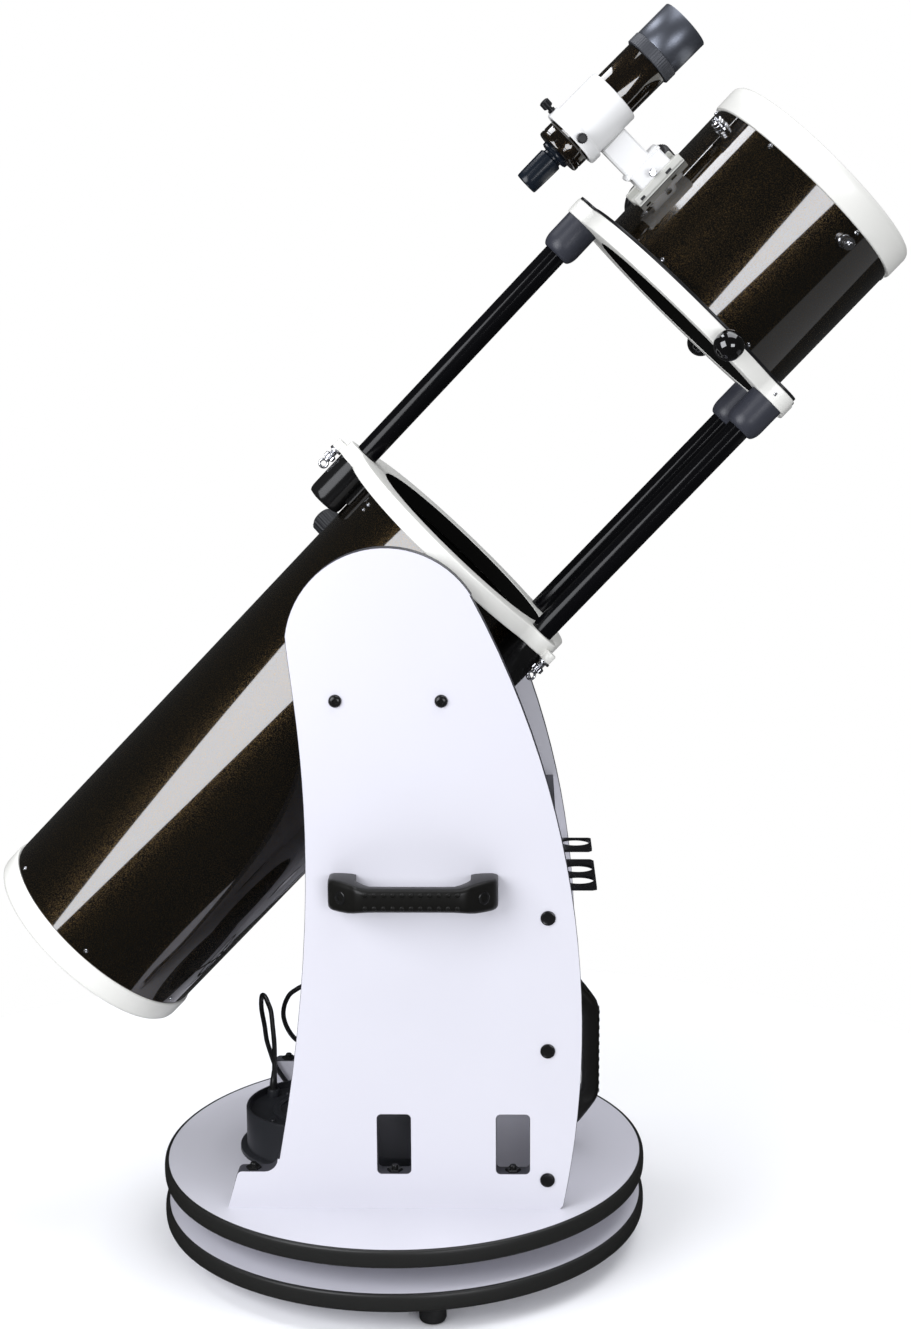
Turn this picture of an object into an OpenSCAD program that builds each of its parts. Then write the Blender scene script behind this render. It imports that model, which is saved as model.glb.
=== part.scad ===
// Collapsible-tube Dobsonian telescope on a motor-driven rocker base.
// Millimetres. The origin is where the azimuth axis meets the floor, +Z is up,
// and the tube points towards +X and up. The side towards -Y is the right side.

/* [Base] */
// Radius of the two round base boards
base_r = 262.5; // [240:0.5:300]
// Thickness of every laminated board
board_t = 18; // [16:1:20]
// Height of the feet
foot_h = 25; // [15:1:40]
// Gap between the ground board and the turning board
board_gap = 28; // [26:1:36]

/* [Rocker box] */
// Half of the width over the two side panels
box_half_w = 164.5; // [163:0.5:175]
// Height of the front board above the turning board
front_board_h = 384; // [300:1:400]

/* [Tube] */
// Outer radius of the lower tube
tube_r = 119; // [117:0.5:120]
// Outer radius of the upper cage tube
cage_r = 118; // [116:0.5:118.5]
// Wall thickness of both tubes
tube_wall = 1.5; // [1.2:0.1:2.5]
// Tilt of the tube above the horizon
tube_tilt = 46.2; // [30:0.1:60]
// Distance of the strut centres from the tube axis
strut_pitch_r = 139; // [138:0.5:142]
// Radius of the three struts
strut_r = 12; // [10:0.5:12.5]

/* [Optics] */
// Radius of the primary mirror
primary_r = 101.5; // [95:0.5:104]
// Distance along the tube from the altitude axis to the focuser axis
focus_l = 506; // [500:1:512]
// Bore radius of the eyepiece adapter
eyepiece_bore_r = 15.9; // [15.85:0.01:16]

/* [Hidden] */
$fn = 96;
eps = 0.01;
fit = 0.3;            // gap left between curved faces that must not overlap
pin_fit = 0.05;       // running clearance of a pin in its bore

// Heights of the base, from the floor up
ground_z = foot_h;
ground_top = ground_z + board_t;
turn_z = ground_top + board_gap;
turn_top = turn_z + board_t;
trim_t = 3;
front_board_x = 146;
front_board_top = turn_top + front_board_h;
box_in = box_half_w - board_t;

// Altitude axis
axis_x = -7.5;
axis_z = 672;
arch_x = -4;
arch_z = 669;
arch_r = 98.5;
shaft_r = 14;

// Places along the tube, measured from the altitude axis
rear_l = -481;
rear_ring_l = -456;
ring_l = 92;
ring_t = 17;
ring_r = 144;
cage_ring_l = 431;
front_ring_l = 606;
tube_seat = 24;        // depth of the groove that holds the cage tube's front end
front_l = 637;
spider_l = 589;
strut_angles = [0, 143.4, -143.4];
ear_r = 21;

// ---------------------------------------------------------------- helpers

module on_tube() translate([axis_x, 0, axis_z]) rotate([0, -tube_tilt, 0]) children();

// Turns the tube's up direction by a degrees towards the right side
module around(a) rotate([a, 0, 0]) children();

// A solid cylinder along the tube from l0 to l1
module rod(r, l0, l1) translate([l0, 0, 0]) rotate([0, 90, 0]) cylinder(r = r, h = l1 - l0);

module pipe(ro, ri, l0, l1) difference() {
    rod(ro, l0, l1);
    rod(ri, l0 - 1, l1 + 1);
}

module ring_z(ro, ri, z0, z1) translate([0, 0, z0]) difference() {
    cylinder(r = ro, h = z1 - z0);
    translate([0, 0, -1]) cylinder(r = ri, h = z1 - z0 + 2);
}

module pin_y(r, y0, y1) translate([0, y0, 0]) rotate([-90, 0, 0]) cylinder(r = r, h = y1 - y0);

// A cylinder with one chamfered end, standing on z = 0
module button(r, h, c) rotate_extrude() polygon([[0, 0], [r, 0], [r, h - c], [r - c, h], [0, h]]);

function arc(cx, cy, r, a0, a1, n) =
    [for (i = [0:n]) let (a = a0 + (a1 - a0) * i / n) [cx + r * cos(a), cy + r * sin(a)]];

function bezier(p0, p1, p2, p3, n) = [for (i = [0:n]) let (t = i / n, s = 1 - t)
    s * s * s * p0 + 3 * s * s * t * p1 + 3 * s * t * t * p2 + t * t * t * p3];

// ---------------------------------------------------------------- ground part

module edge_trim(z0) translate([0, 0, z0]) rotate_extrude($fn = 180) polygon(concat(
    [[base_r - trim_t, 0]],
    arc(base_r - 2, 2, 2, -90, 0, 4),
    arc(base_r - 2, board_t - 2, 2, 0, 90, 4),
    [[base_r - trim_t, board_t]]));

module ground_board() color("white") translate([0, 0, ground_z]) difference() {
    cylinder(r = base_r - trim_t, h = board_t, $fn = 180);
    translate([0, 0, -1]) cylinder(r = 6, h = board_t + 2);
}

module ground_edge_trim() color("black") edge_trim(ground_z);

foot_ring_r = 230;
foot_r = 14;
module ground_feet() color("black")
    for (a = [-80, 40, 160]) rotate([0, 0, a]) translate([foot_ring_r, 0, 0])
        rotate_extrude() polygon([[0, 0], [foot_r - 2, 0], [foot_r, 2], [foot_r, foot_h], [0, foot_h]]);

// Plastic hub on the ground board: the rollers run on its rim
bearing_r = 108;
hub_r = 40;
track_t = 6;
module bearing_base() color("dimgray") translate([0, 0, ground_top]) difference() {
    union() {
        cylinder(r = bearing_r, h = track_t);
        cylinder(r = hub_r, h = board_gap - 3);
    }
    translate([0, 0, -1]) cylinder(r = shaft_r + pin_fit, h = board_gap);
}

// Twelve rollers in their cage, between the hub's rim and the turning board
roller_r = (board_gap - track_t) / 2 - 0.2;
roller_mid_r = 88;
roller_len = 20;
module bearing_rollers() translate([0, 0, ground_top + track_t + roller_r + 0.2]) {
    color("gray") difference() {
        ring_z(104, 72, -3, 3);
        for (i = [0:11]) rotate([0, 0, 30 * i]) translate([roller_mid_r, 0, 0])
            cube([roller_len + 1, 2 * roller_r + 1, 8], center = true);
    }
    color("ivory") for (i = [0:11]) rotate([0, 0, 30 * i])
        translate([roller_mid_r - roller_len / 2, 0, 0]) rotate([0, 90, 0])
            cylinder(r = roller_r, h = roller_len);
}

// Toothed worm wheel and its shaft, both fixed to the ground board's hub
az_wheel_r = 62;
az_teeth = 72;
az_wheel_z = turn_top + 4;
wheel_t = 8;
module toothed(r, teeth, depth, t) linear_extrude(t) polygon([for (i = [0:teeth - 1], k = [0:3])
    let (a = 360 * (i + k / 4) / teeth, q = (k < 2) ? r : r - depth) [q * cos(a), q * sin(a)]]);
module azimuth_worm_wheel() color("goldenrod") {
    translate([0, 0, ground_top]) cylinder(r = shaft_r, h = az_wheel_z + wheel_t + 2 - ground_top);
    translate([0, 0, az_wheel_z]) difference() {
        toothed(az_wheel_r, az_teeth, 1.6, wheel_t);
        translate([0, 0, -1]) cylinder(r = shaft_r - 1, h = wheel_t + 2);
    }
}

// ---------------------------------------------------------------- turning part

module turntable_board() color("white") translate([0, 0, turn_z]) difference() {
    cylinder(r = base_r - trim_t, h = board_t, $fn = 180);
    translate([0, 0, -1]) cylinder(r = shaft_r + pin_fit, h = board_t + 2);
}

module turntable_edge_trim() color("black") edge_trim(turn_z);

foot_top = 128.5;     // height of the panel's rear foot above the floor
panel_outline = concat(
    [[168, turn_top], [171, turn_top + 4]],
    bezier([171, turn_top + 4], [208, 278], [194, 506], [78, 722], 24),
    arc(arch_x, arch_z, arch_r, 32, 173, 28),
    bezier([-101.5, 680], [-99, 625], [-58.5, 463], [-118, 142], 20),
    arc(-134, 142.5, 14, 0, -90, 6),
    [[-157, foot_top]],
    arc(-157, foot_top - 5, 5, 90, 160, 4),
    [[-172, turn_top]]);

window_w = 35;
window_z0 = 126.5;
window_z1 = 191;
window_x = [-1.2, 119.8];
bolt_x = [-54, 50];   // domed bolts that hold the altitude bearings
bolt_z = 617.5;
cap_z = [397.5, 258.5, 120.5];
cap_x = 155;

module window_2d(r) for (x = window_x) translate([x - window_w / 2, window_z0]) {
    translate([r, 0]) square([window_w - 2 * r, window_z1 - window_z0]);
    translate([0, r]) square([window_w, window_z1 - window_z0 - 2 * r]);
    for (i = [r, window_w - r], k = [r, window_z1 - window_z0 - r]) translate([i, k]) circle(r = r);
}

// One side panel, its inner face on y = 0 and its outer face at y = -board_t
module side_panel() rotate([90, 0, 0]) linear_extrude(board_t) difference() {
    polygon(panel_outline);
    window_2d(5);
}

module right_panel() color("white") translate([0, -box_in, 0]) side_panel();
module left_panel() color("white") translate([0, box_half_w, 0]) side_panel();

module front_board() color("white") translate([front_board_x, -box_in, turn_top])
    cube([board_t, 2 * box_in, front_board_h]);

// Screw caps, domed bolt heads and the nuts that hold the panels down
module panel_fasteners() color("black") for (s = [0, 1]) mirror([0, s, 0]) {
    for (x = bolt_x) translate([x, -box_half_w, bolt_z]) rotate([90, 0, 0]) button(6.5, 4, 2.5);
    for (z = cap_z) translate([cap_x, -box_half_w, z]) rotate([90, 0, 0]) button(7.5, 2, 0.8);
    for (x = window_x) translate([x, -box_half_w + board_t / 2, window_z0]) {
        button(6, 3, 1);
        translate([0, 0, 3]) button(3, 4, 1);
    }
    translate([-146, -box_half_w + board_t / 2, foot_top]) {
        button(6, 3, 1);
        translate([0, 0, 3]) button(3, 4, 1);
    }
}

// A moulded carry handle along X, standing off the face y = 0 towards -Y
grip_l = 168;
grip_out = 48;
module handle(w, bar_w) rotate([0, 0, 180]) {
    difference() {
        linear_extrude(bar_w, center = true) polygon([[-84, 0], [-84, 22], [-78, 29], [-52, grip_out],
            [52, grip_out], [78, 29], [84, 22], [84, 0], [57, 0], [57, 16], [44, 29], [-44, 29],
            [-57, 16], [-57, 0]]);
    }
    for (x = [-84, 57]) translate([x, 0, -w / 2]) cube([27, 22, w]);
}
module side_handles() color("#202022") for (s = [0, 1]) mirror([0, s, 0])
    translate([21.5, -box_half_w, 428]) handle(32, 24);
module front_handle() color("#202022") translate([front_board_x + board_t, 0, 199.5])
    rotate([0, 90, 90]) handle(32, 24);

rack_z = 408;
rack_x = front_board_x + board_t;
rack_w = 42;
rack_half = 102;
rack_hole_y = [-70, -25, 84];
rack_hole_r = 16.2;
module eyepiece_rack() color("black") {
    translate([rack_x, -rack_half, rack_z]) difference() {
        cube([rack_w, 2 * rack_half, 3]);
        for (y = rack_hole_y) translate([24, rack_half + y, -1]) cylinder(r = rack_hole_r, h = 5);
        translate([6, rack_half + 10, -1]) cube([rack_w, 40, 5]);
    }
    translate([rack_x, -rack_half, rack_z - 18]) cube([3, 2 * rack_half, 18]);
}

// Azimuth drive: a low cover over the worm wheel, and a can with the motor
can_x = -103;
can_r = 71;
can_h = 49;
cover_r = 82;
cover_h = 18;
socket_x = -149;      // socket on the can's top, where the lead plugs in
socket_y = 37;
module azimuth_drive_housing() color("#26272a") translate([0, 0, turn_top]) {
    difference() {
        union() {
            cylinder(r = cover_r, h = cover_h);
            translate([can_x, 0, 0]) cylinder(r = can_r, h = can_h);
            translate([can_x, 0, 0]) cylinder(r = can_r + 7, h = 5);
        }
        translate([0, 0, -1]) cylinder(r = cover_r - 3, h = cover_h - 2);
        translate([can_x, 0, -1]) cylinder(r = can_r - 3, h = can_h - 11);
        translate([can_x, 0, can_h - 8]) cylinder(r = can_r - 3, h = 10);
    }
    translate([socket_x, socket_y, can_h - 9]) cylinder(r = 7, h = 9);
}

// Worm beside the wheel, its axis along Y, in the motor can
worm_r = 7;
az_worm_x = -(az_wheel_r + worm_r + 0.3);
az_worm_z = az_wheel_z + wheel_t / 2;
module worm(half) {
    rotate([-90, 0, 0]) translate([0, 0, -half]) cylinder(r = worm_shaft_r, h = 2 * half);
    rotate([-90, 0, 0]) translate([0, 0, -14]) cylinder(r = worm_r, h = 28);
}
module azimuth_worm() color("silver") translate([az_worm_x, 0, az_worm_z]) worm(26);

// Altitude axis parts: plain bearing on the right, drive housing on the left
bearing_y = 131;
bearing_t = box_in - bearing_y;
module altitude_bearing() color("#2a2a2c") translate([axis_x, -bearing_y, axis_z]) rotate([90, 0, 0])
    difference() {
        union() {
            cylinder(r = 42, h = bearing_t);
            for (x = bolt_x) translate([x - axis_x, bolt_z - axis_z, 0]) cylinder(r = 14, h = bearing_t);
            linear_extrude(bearing_t) polygon([[-40, 5], [40, 5], [70, -50],
                [58, -68], [-47, -68], [-59, -50]]);
        }
        translate([0, 0, -1]) cylinder(r = shaft_r + pin_fit, h = bearing_t + 2);
    }

alt_wheel_r = 48;
alt_teeth = 60;
alt_wheel_y = 133;
alt_house_y = 124;
alt_worm_z = -(alt_wheel_r + worm_r + 0.3);
module altitude_drive_housing() color("#2a2a2c") translate([axis_x, 0, axis_z]) difference() {
    union() {
        pin_y(64, alt_house_y, box_in);
        translate([-66, alt_house_y, -104]) cube([122, box_in - alt_house_y, 76]);
    }
    pin_y(60, alt_house_y + 3, box_in + 1);
    translate([-63, alt_house_y + 3, -101]) cube([116, box_in, 70]);
    pin_y(shaft_r + pin_fit, alt_house_y - 1, box_in + 1);
}

// One motor beside each worm, with the two bored posts that carry the worm's shaft
worm_shaft_r = 3;
module drive_motors() color("silver") {
    translate([az_worm_x, 0, turn_top]) {
        translate([-34, -30, 13]) rotate([-90, 0, 0]) cylinder(r = 12, h = 60);
        translate([-44, -30, 0]) cube([20, 60, 8]);
        for (y = [-23, 17]) difference() {
            translate([-6, y, 0]) cube([12, 6, 14]);
            translate([0, y - 1, az_worm_z - turn_top]) rotate([-90, 0, 0])
                cylinder(r = worm_shaft_r + pin_fit, h = 8);
        }
    }
    translate([axis_x, alt_house_y + 3, axis_z]) {
        translate([-58, 10, -86]) rotate([0, 90, 0]) cylinder(r = 9, h = 60);
        translate([-58, 0, -92]) cube([60, 4, 12]);
        for (x = [-23, 17]) difference() {
            translate([x, 0, alt_worm_z - 6]) cube([6, 16, 12]);
            translate([x - 1, alt_wheel_y + 4 - alt_house_y - 3, alt_worm_z]) rotate([0, 90, 0])
                cylinder(r = worm_shaft_r + pin_fit, h = 8);
        }
    }
}
module altitude_worm() color("silver") translate([axis_x, alt_wheel_y + 4, axis_z + alt_worm_z])
    rotate([0, 0, 90]) worm(26);

// Lead from the socket in the motor can up to the altitude drive housing
lead_r = 2.75;
lead_path = [[-149, 37, 138], [-149, 38, 147], [-149, 45, 156], [-150, 56, 162], [-152, 73, 176],
    [-156, 93, 190], [-160, 111, 202], [-165, 121, 210], [-169, 129, 214], [-173, 136, 213],
    [-175, 141, 205], [-175, 143, 192], [-172, 143, 173], [-170, 143, 156], [-166, 142, 142],
    [-161, 141, 127], [-154, 140, 115], [-145, 140, 103], [-132, 140, 96], [-116, 139, 94],
    [-100, 138, 97], [-88, 137, 106], [-84, 135, 121], [-90, 133, 137], [-104, 132, 148],
    [-120, 131, 154], [-134, 131, 161], [-143, 131, 173], [-148, 131, 188], [-147, 131, 202],
    [-141, 131, 215], [-132, 132, 222], [-120, 133, 229], [-104, 134, 242], [-84, 136, 268],
    [-64, 137, 320], [-46, 137, 400], [-36, 136, 480], [-34, 135, 540], [-34, 135, 568]];
function unit(v) = v / norm(v);
function tangent(p, i) = unit(p[min(i + 1, len(p) - 1)] - p[max(i - 1, 0)]);
function ring_points(c, t, r, n) =
    let (s = unit(cross(t, abs(t.y) < 0.9 ? [0, 1, 0] : [1, 0, 0])), u = cross(s, t))
    [for (k = [0:n - 1]) c + r * (cos(360 * k / n) * s + sin(360 * k / n) * u)];
module swept_tube(path, r, n) {
    rows = len(path);
    points = [for (i = [0:rows - 1]) each ring_points(path[i], tangent(path, i), r, n)];
    sides = [for (i = [0:rows - 2], k = [0:n - 1])
        [i * n + k, i * n + (k + 1) % n, (i + 1) * n + (k + 1) % n, (i + 1) * n + k]];
    polyhedron(points, concat([[for (k = [n - 1:-1:0]) k]], sides,
        [[for (k = [0:n - 1]) (rows - 1) * n + k]]), convexity = 10);
}
module drive_lead() color("#151515") swept_tube(lead_path, lead_r, 8);

// ---------------------------------------------------------------- tube

knob_l = 21;
knob_a = -26;
module lower_tube() color("#2a2018") on_tube() difference() {
    pipe(tube_r, tube_r - tube_wall, rear_l + 6, ring_l + 8);
    around(knob_a) translate([knob_l, 0, 90]) cylinder(r = 3 + pin_fit, h = 60);
}

module rear_ring() color("ivory") on_tube() difference() {
    union() {
        rod(tube_r + 2, rear_l + 4, rear_ring_l);
        rod(tube_r, rear_l, rear_l + 5);
    }
    rod(tube_r, rear_l + 6, rear_ring_l + 1);
    rod(tube_r - 8, rear_l - 1, rear_l + 7);
}

cell_l = -450;
module three_legs(r_in, r_out, w, l0, l1) for (i = [0:2]) around(60 + 120 * i)
    translate([l0, -w / 2, r_in]) cube([l1 - l0, w, r_out - r_in]);

screw_r = 2.5;
collimation_r = 70;
module rear_cell_plate() color("#303030") on_tube() difference() {
    union() {
        pipe(tube_r - tube_wall, 100, -471, -459);
        three_legs(30, 102, 34, -465, -459);
        pipe(40, 24, -465, -459);
    }
    for (i = [0:2]) around(60 + 120 * i) translate([0, 0, collimation_r]) rod(screw_r + pin_fit, -472, -458);
}

module mirror_cell() color("#303030") on_tube() difference() {
    union() {
        rod(primary_r + 6, -450, -442);
        for (i = [0:2]) around(120 * i) translate([-446, -9, primary_r + 0.5]) cube([34, 18, 5]);
        for (i = [0:2]) around(60 + 120 * i) translate([0, 0, collimation_r]) rod(7, -459, -449);
    }
    rod(30, -451, -441);
    for (i = [0:2]) around(60 + 120 * i) translate([0, 0, collimation_r]) rod(screw_r + pin_fit, -460, -441);
}

module primary_mirror() color("silver") on_tube() rod(primary_r, -442, -415);

// Thumb nuts on the three collimation screws
module collimation_knob(i) color("#202020") on_tube() around(60 + 120 * i)
    translate([0, 0, collimation_r]) {
        rod(screw_r, -466, -443);
        rod(9, -478, -465.4);
    }
module collimation_knob_1() collimation_knob(0);
module collimation_knob_2() collimation_knob(1);
module collimation_knob_3() collimation_knob(2);

// Reach of the flange's outline at phi degrees from the middle of an ear
function ear_reach(phi) = let (s = strut_pitch_r * sin(phi))
    abs(s) < ear_r ? strut_pitch_r * cos(phi) + sqrt(ear_r * ear_r - s * s) : 0;
function shoulder_reach(phi) = 8008 / (50 * cos(phi) + 34 * sin(phi));
function flange_reach(phi) = phi > 25 ? ring_r : max(ring_r, ear_reach(phi), shoulder_reach(max(phi, 5)));
function from_ear(a) = min([for (e = strut_angles) abs((a - 180 - e + 900) % 360 - 180)]);
flange_outline = [for (a = [0:1.6:359]) flange_reach(from_ear(a)) * [cos(a), sin(a)]];

// Round flange with an ear at each strut; z is along the tube
module flange(t, hole_r, strut_hole_r) rotate([0, 90, 0]) linear_extrude(t) difference() {
    polygon(flange_outline);
    circle(r = hole_r);
    for (a = strut_angles) rotate(a) translate([-strut_pitch_r, 0]) circle(r = strut_hole_r);
}

// The lug beside each ear holds the screw that locks the strut
module flange_ring() color("ivory") on_tube() difference() {
    union() {
        translate([ring_l, 0, 0]) flange(ring_t, tube_r - 8, strut_r + pin_fit);
        for (a = strut_angles) around(a) {
            translate([0, 0, lock_r]) rod(5.5, ring_l, ring_l + 10);
            translate([ring_l, -4.5, lock_r - 10]) cube([10, 9, 10]);
        }
    }
    rod(tube_r, ring_l - 1, ring_l + 8);
    for (a = strut_angles) around(a) translate([0, 0, lock_r]) rod(3 + pin_fit, ring_l - 1, ring_l + 11);
}

guide_r = 19.5;
module strut_guides() color("#1c1c1e") on_tube() difference() {
    for (a = strut_angles) around(a) translate([0, 0, strut_pitch_r]) rod(guide_r, 42, ring_l);
    for (a = strut_angles) around(a) translate([0, 0, strut_pitch_r]) rod(strut_r + pin_fit, 41, ring_l + 1);
    rod(tube_r + fit, 41, ring_l + 1);
}

// Chrome locking screws that hang below the flange's lugs
lock_r = 165.5;
module strut_lock(a) color("silver") on_tube() around(a) translate([0, 0, lock_r]) {
    rod(3, ring_l - 16, ring_l + 10);
    rod(6, ring_l - 13, ring_l - 5);
    translate([ring_l - 21, 0, 0]) rotate([90, 0, 0]) rotate_extrude() translate([4, 0]) circle(r = 1.4);
}
module strut_lock_1() strut_lock(strut_angles[0]);
module strut_lock_2() strut_lock(strut_angles[1]);
module strut_lock_3() strut_lock(strut_angles[2]);

module trunnions() color("ivory") translate([axis_x, 0, axis_z]) difference() {
    union() for (s = [0, 1]) mirror([0, s, 0]) {
        pin_y(40, 104, 122);
        pin_y(shaft_r, 121, box_in - 1.5);
    }
    rotate([0, -tube_tilt, 0]) rod(tube_r, -60, 60);
}

module altitude_worm_wheel() color("goldenrod") translate([axis_x, alt_wheel_y, axis_z]) rotate([-90, 0, 0])
    difference() {
        toothed(alt_wheel_r, alt_teeth, 1.6, wheel_t);
        translate([0, 0, -1]) cylinder(r = shaft_r, h = wheel_t + 2);
    }

module tension_knob() color("#303033") on_tube() around(knob_a) translate([knob_l, 0, 0]) {
    translate([0, 0, tube_r + 1.5]) button(15, 23, 5);
    translate([0, 0, 110]) cylinder(r = 3, h = 12);
}

// ---------------------------------------------------------------- cage

strut_l0 = 50;
module strut(a) color("#101012") on_tube() around(a) translate([0, 0, strut_pitch_r])
    rod(strut_r, strut_l0, cage_ring_l + ring_t - 6);
module strut_top() strut(strut_angles[0]);
module strut_right() strut(strut_angles[1]);
module strut_left() strut(strut_angles[2]);

module strut_caps() color("#3a3b3f") on_tube() for (a = strut_angles) around(a)
    translate([0, 0, strut_pitch_r]) rotate([0, 90, 0]) rotate_extrude() polygon(concat(
        [[strut_r + 0.1, 394], [13.5, 394]],
        arc(9.5, 404, 9.2, -60, 0, 5),
        [[18.7, cage_ring_l], [strut_r + 0.1, cage_ring_l]]));

module cage_ring() color("ivory") on_tube() difference() {
    translate([cage_ring_l, 0, 0]) flange(ring_t, cage_r - 6, strut_r);
    rod(cage_r, cage_ring_l + 8, cage_ring_l + ring_t + 1);
}

module cage_tube() color("#2a2018") on_tube() difference() {
    pipe(cage_r, cage_r - tube_wall, cage_ring_l + 8, front_ring_l + tube_seat);
    around(focuser_a) translate([focus_l, 0, 0]) cylinder(r = 32, h = 200);
}

module front_ring() color("ivory") on_tube() rotate([0, 90, 0]) difference() {
    rotate_extrude($fn = 180) polygon(concat(
        [[cage_r - 6, front_ring_l], [cage_r + 3, front_ring_l]],
        arc(cage_r - 5, front_l - 8, 8, 0, 80, 8),
        [[cage_r - 6, front_l]]));
    translate([0, 0, front_ring_l - 1]) ring_z(cage_r, cage_r - tube_wall, 0, tube_seat + 1);
}

vane_angles = [28, 118, 208, 298];
hub_l = 22;
module spider() color("#1a1a1a") on_tube() {
    rod(18, spider_l - hub_l / 2, spider_l + hub_l / 2);
    intersection() {
        rod(cage_r - tube_wall, spider_l - 12, spider_l + 12);
        for (a = vane_angles) around(a) translate([spider_l - 9, -0.5, 17]) cube([18, 1, cage_r - 17]);
    }
    difference() {
        for (a = vane_angles) around(a) translate([spider_l, 0, cage_r - 1]) {
            cylinder(r = 6, h = 5);
            translate([0, 0, 5]) button(5.5, 9, 1.5);
        }
        rod(cage_r, spider_l - 12, spider_l + 12);
    }
}

// Elliptical flat cut from a cylinder, facing the focuser, on its holder
focuser_a = -55;
secondary_r = 25;
module secondary_mirror() color("silver") on_tube() around(focuser_a) {
    rod(4, focus_l + 34, spider_l - hub_l / 2);
    difference() {
        rod(secondary_r, focus_l - 30, focus_l + 36);
        translate([focus_l, 0, 0]) rotate([0, -45, 0]) translate([-150, -50, 0]) cube([300, 100, 100]);
    }
}

ball_r = 15;
module ball_knobs() color("black") on_tube() for (s = [0, 1]) mirror([0, s, 0]) around(105)
    difference() {
        translate([438.5, 0, 0]) {
            translate([0, 0, ring_r - 1]) cylinder(r = 5, h = 8);
            translate([0, 0, ring_r + ball_r + 1]) sphere(r = ball_r);
        }
        rod(ring_r, cage_ring_l, cage_ring_l + ring_t);
    }

// ---------------------------------------------------------------- finder

finder_a = 12.5;
finder_tilt = 2;
finder_r = 207.5;     // distance of the finder's axis from the tube's axis
finder_mid = 540;
shoe_l0 = 481;
shoe_l1 = 543;
module in_finder() on_tube() around(finder_a) translate([finder_mid, 0, finder_r])
    rotate([0, finder_tilt, 0]) translate([-finder_mid, 0, 0]) children();

module finder_shoe() color("#b8b8b4") on_tube() around(finder_a) translate([shoe_l0, 0, 0])
    rotate([0, 90, 0]) linear_extrude(shoe_l1 - shoe_l0) difference() {
        translate([-126, -22]) square([14, 44]);
        translate([-130, -17.5]) square([10, 35]);
        circle(r = cage_r, $fn = 720);
    }

module finder_bracket() color("white") {
    on_tube() around(finder_a) translate([494, -17, 120]) cube([40, 34, 22]);
    difference() {
        union() {
            on_tube() around(finder_a) translate([493, -8, 141]) cube([31, 16, 45]);
            in_finder() {
                rod(29.5, 479, 540);
                rod(32, 479, 491);
                around(225) translate([485, 0, 29]) cylinder(r = 4.5, h = 12);
            }
        }
        in_finder() {
            rod(finder_in_r, 478, 541);
            for (a = [0, 90]) around(a) translate([485, 0, 20]) cylinder(r = 2.5 + pin_fit, h = 20);
        }
    }
}

finder_in_r = 26.4;
module finder_tube() color("#1c1712") in_finder() {
    pipe(24.8, 22, 478, 583.7);
    pipe(22.8, 21, 575, 592);
    pipe(finder_in_r, 24, 534, 539.5);
    pipe(24.8, 13.3, 461, 479);
}
module finder_eyepiece() color("#15181c") in_finder() {
    rod(13.3, 456, 477.5);
    rod(12.4, 418, 456);
}
module finder_objective() color("#8d9299") in_finder() {
    pipe(27.3, 22.8 + pin_fit, 584, 593);
    rod(27.3, 593, 597);
    pipe(26.6, 24.6, 596, 636);
}
module finder_screw() translate([485, 0, 0]) {
    translate([0, 0, 25.1]) cylinder(r = 2.5, h = 12);
    translate([0, 0, 37]) button(5, 8, 1.2);
}
module finder_screw_top() color("black") in_finder() around(0) finder_screw();
module finder_screw_side() color("black") in_finder() around(90) finder_screw();

// ---------------------------------------------------------------- focuser

module in_focuser() on_tube() around(focuser_a) translate([focus_l, 0, 0]) children();
draw_r = 27;
knob_z = 154;
knob_shaft_r = 3;
pinion_x = draw_r + knob_shaft_r + 1.5;
module focuser_base() color("#1e1e20") in_focuser() difference() {
    union() {
        translate([-36, -36, 108]) cube([72, 72, 16]);
        translate([0, 0, 120]) cylinder(r = 34, h = 46);
        translate([-9, -30, 130]) cube([48, 60, 34]);
    }
    translate([-focus_l, 0, 0]) rod(cage_r, focus_l - 40, focus_l + 40);
    translate([0, 0, 90]) cylinder(r = draw_r + pin_fit, h = 90);
    translate([pinion_x, -40, knob_z]) rotate([-90, 0, 0])
        cylinder(r = knob_shaft_r + pin_fit, h = 80);
    translate([-45, 0, knob_z]) rotate([0, 90, 0]) cylinder(r = 2 + pin_fit, h = 20);
}
module focuser_drawtube() color("silver") in_focuser() difference() {
    translate([0, 0, 112]) cylinder(r = draw_r, h = 66);
    translate([0, 0, 111]) cylinder(r = draw_r - 1.6, h = 70);
}
module eyepiece_adapter() color("#1e1e20") in_focuser() difference() {
    union() {
        translate([0, 0, 178]) cylinder(r = draw_r + 2, h = 8);
        translate([0, 0, 160]) cylinder(r = draw_r - 1.9, h = 18);
        translate([0, 0, 186]) cylinder(r = 20, h = 6);
    }
    translate([0, 0, 159]) cylinder(r = eyepiece_bore_r, h = 34);
}
module focus_knobs() color("#1e1e20") in_focuser()
    translate([pinion_x, 0, knob_z]) rotate([-90, 0, 0]) {
        translate([0, 0, -58]) cylinder(r = knob_shaft_r, h = 116);
        for (s = [0, 1]) mirror([0, 0, s]) translate([0, 0, 38]) button(19, 20, 2);
    }
module focus_lock_screw() color("silver") in_focuser() translate([-46, 0, knob_z]) rotate([0, 90, 0]) {
    cylinder(r = 2, h = 46 - draw_r - 0.5);
    cylinder(r = 6, h = 9);
}

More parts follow.
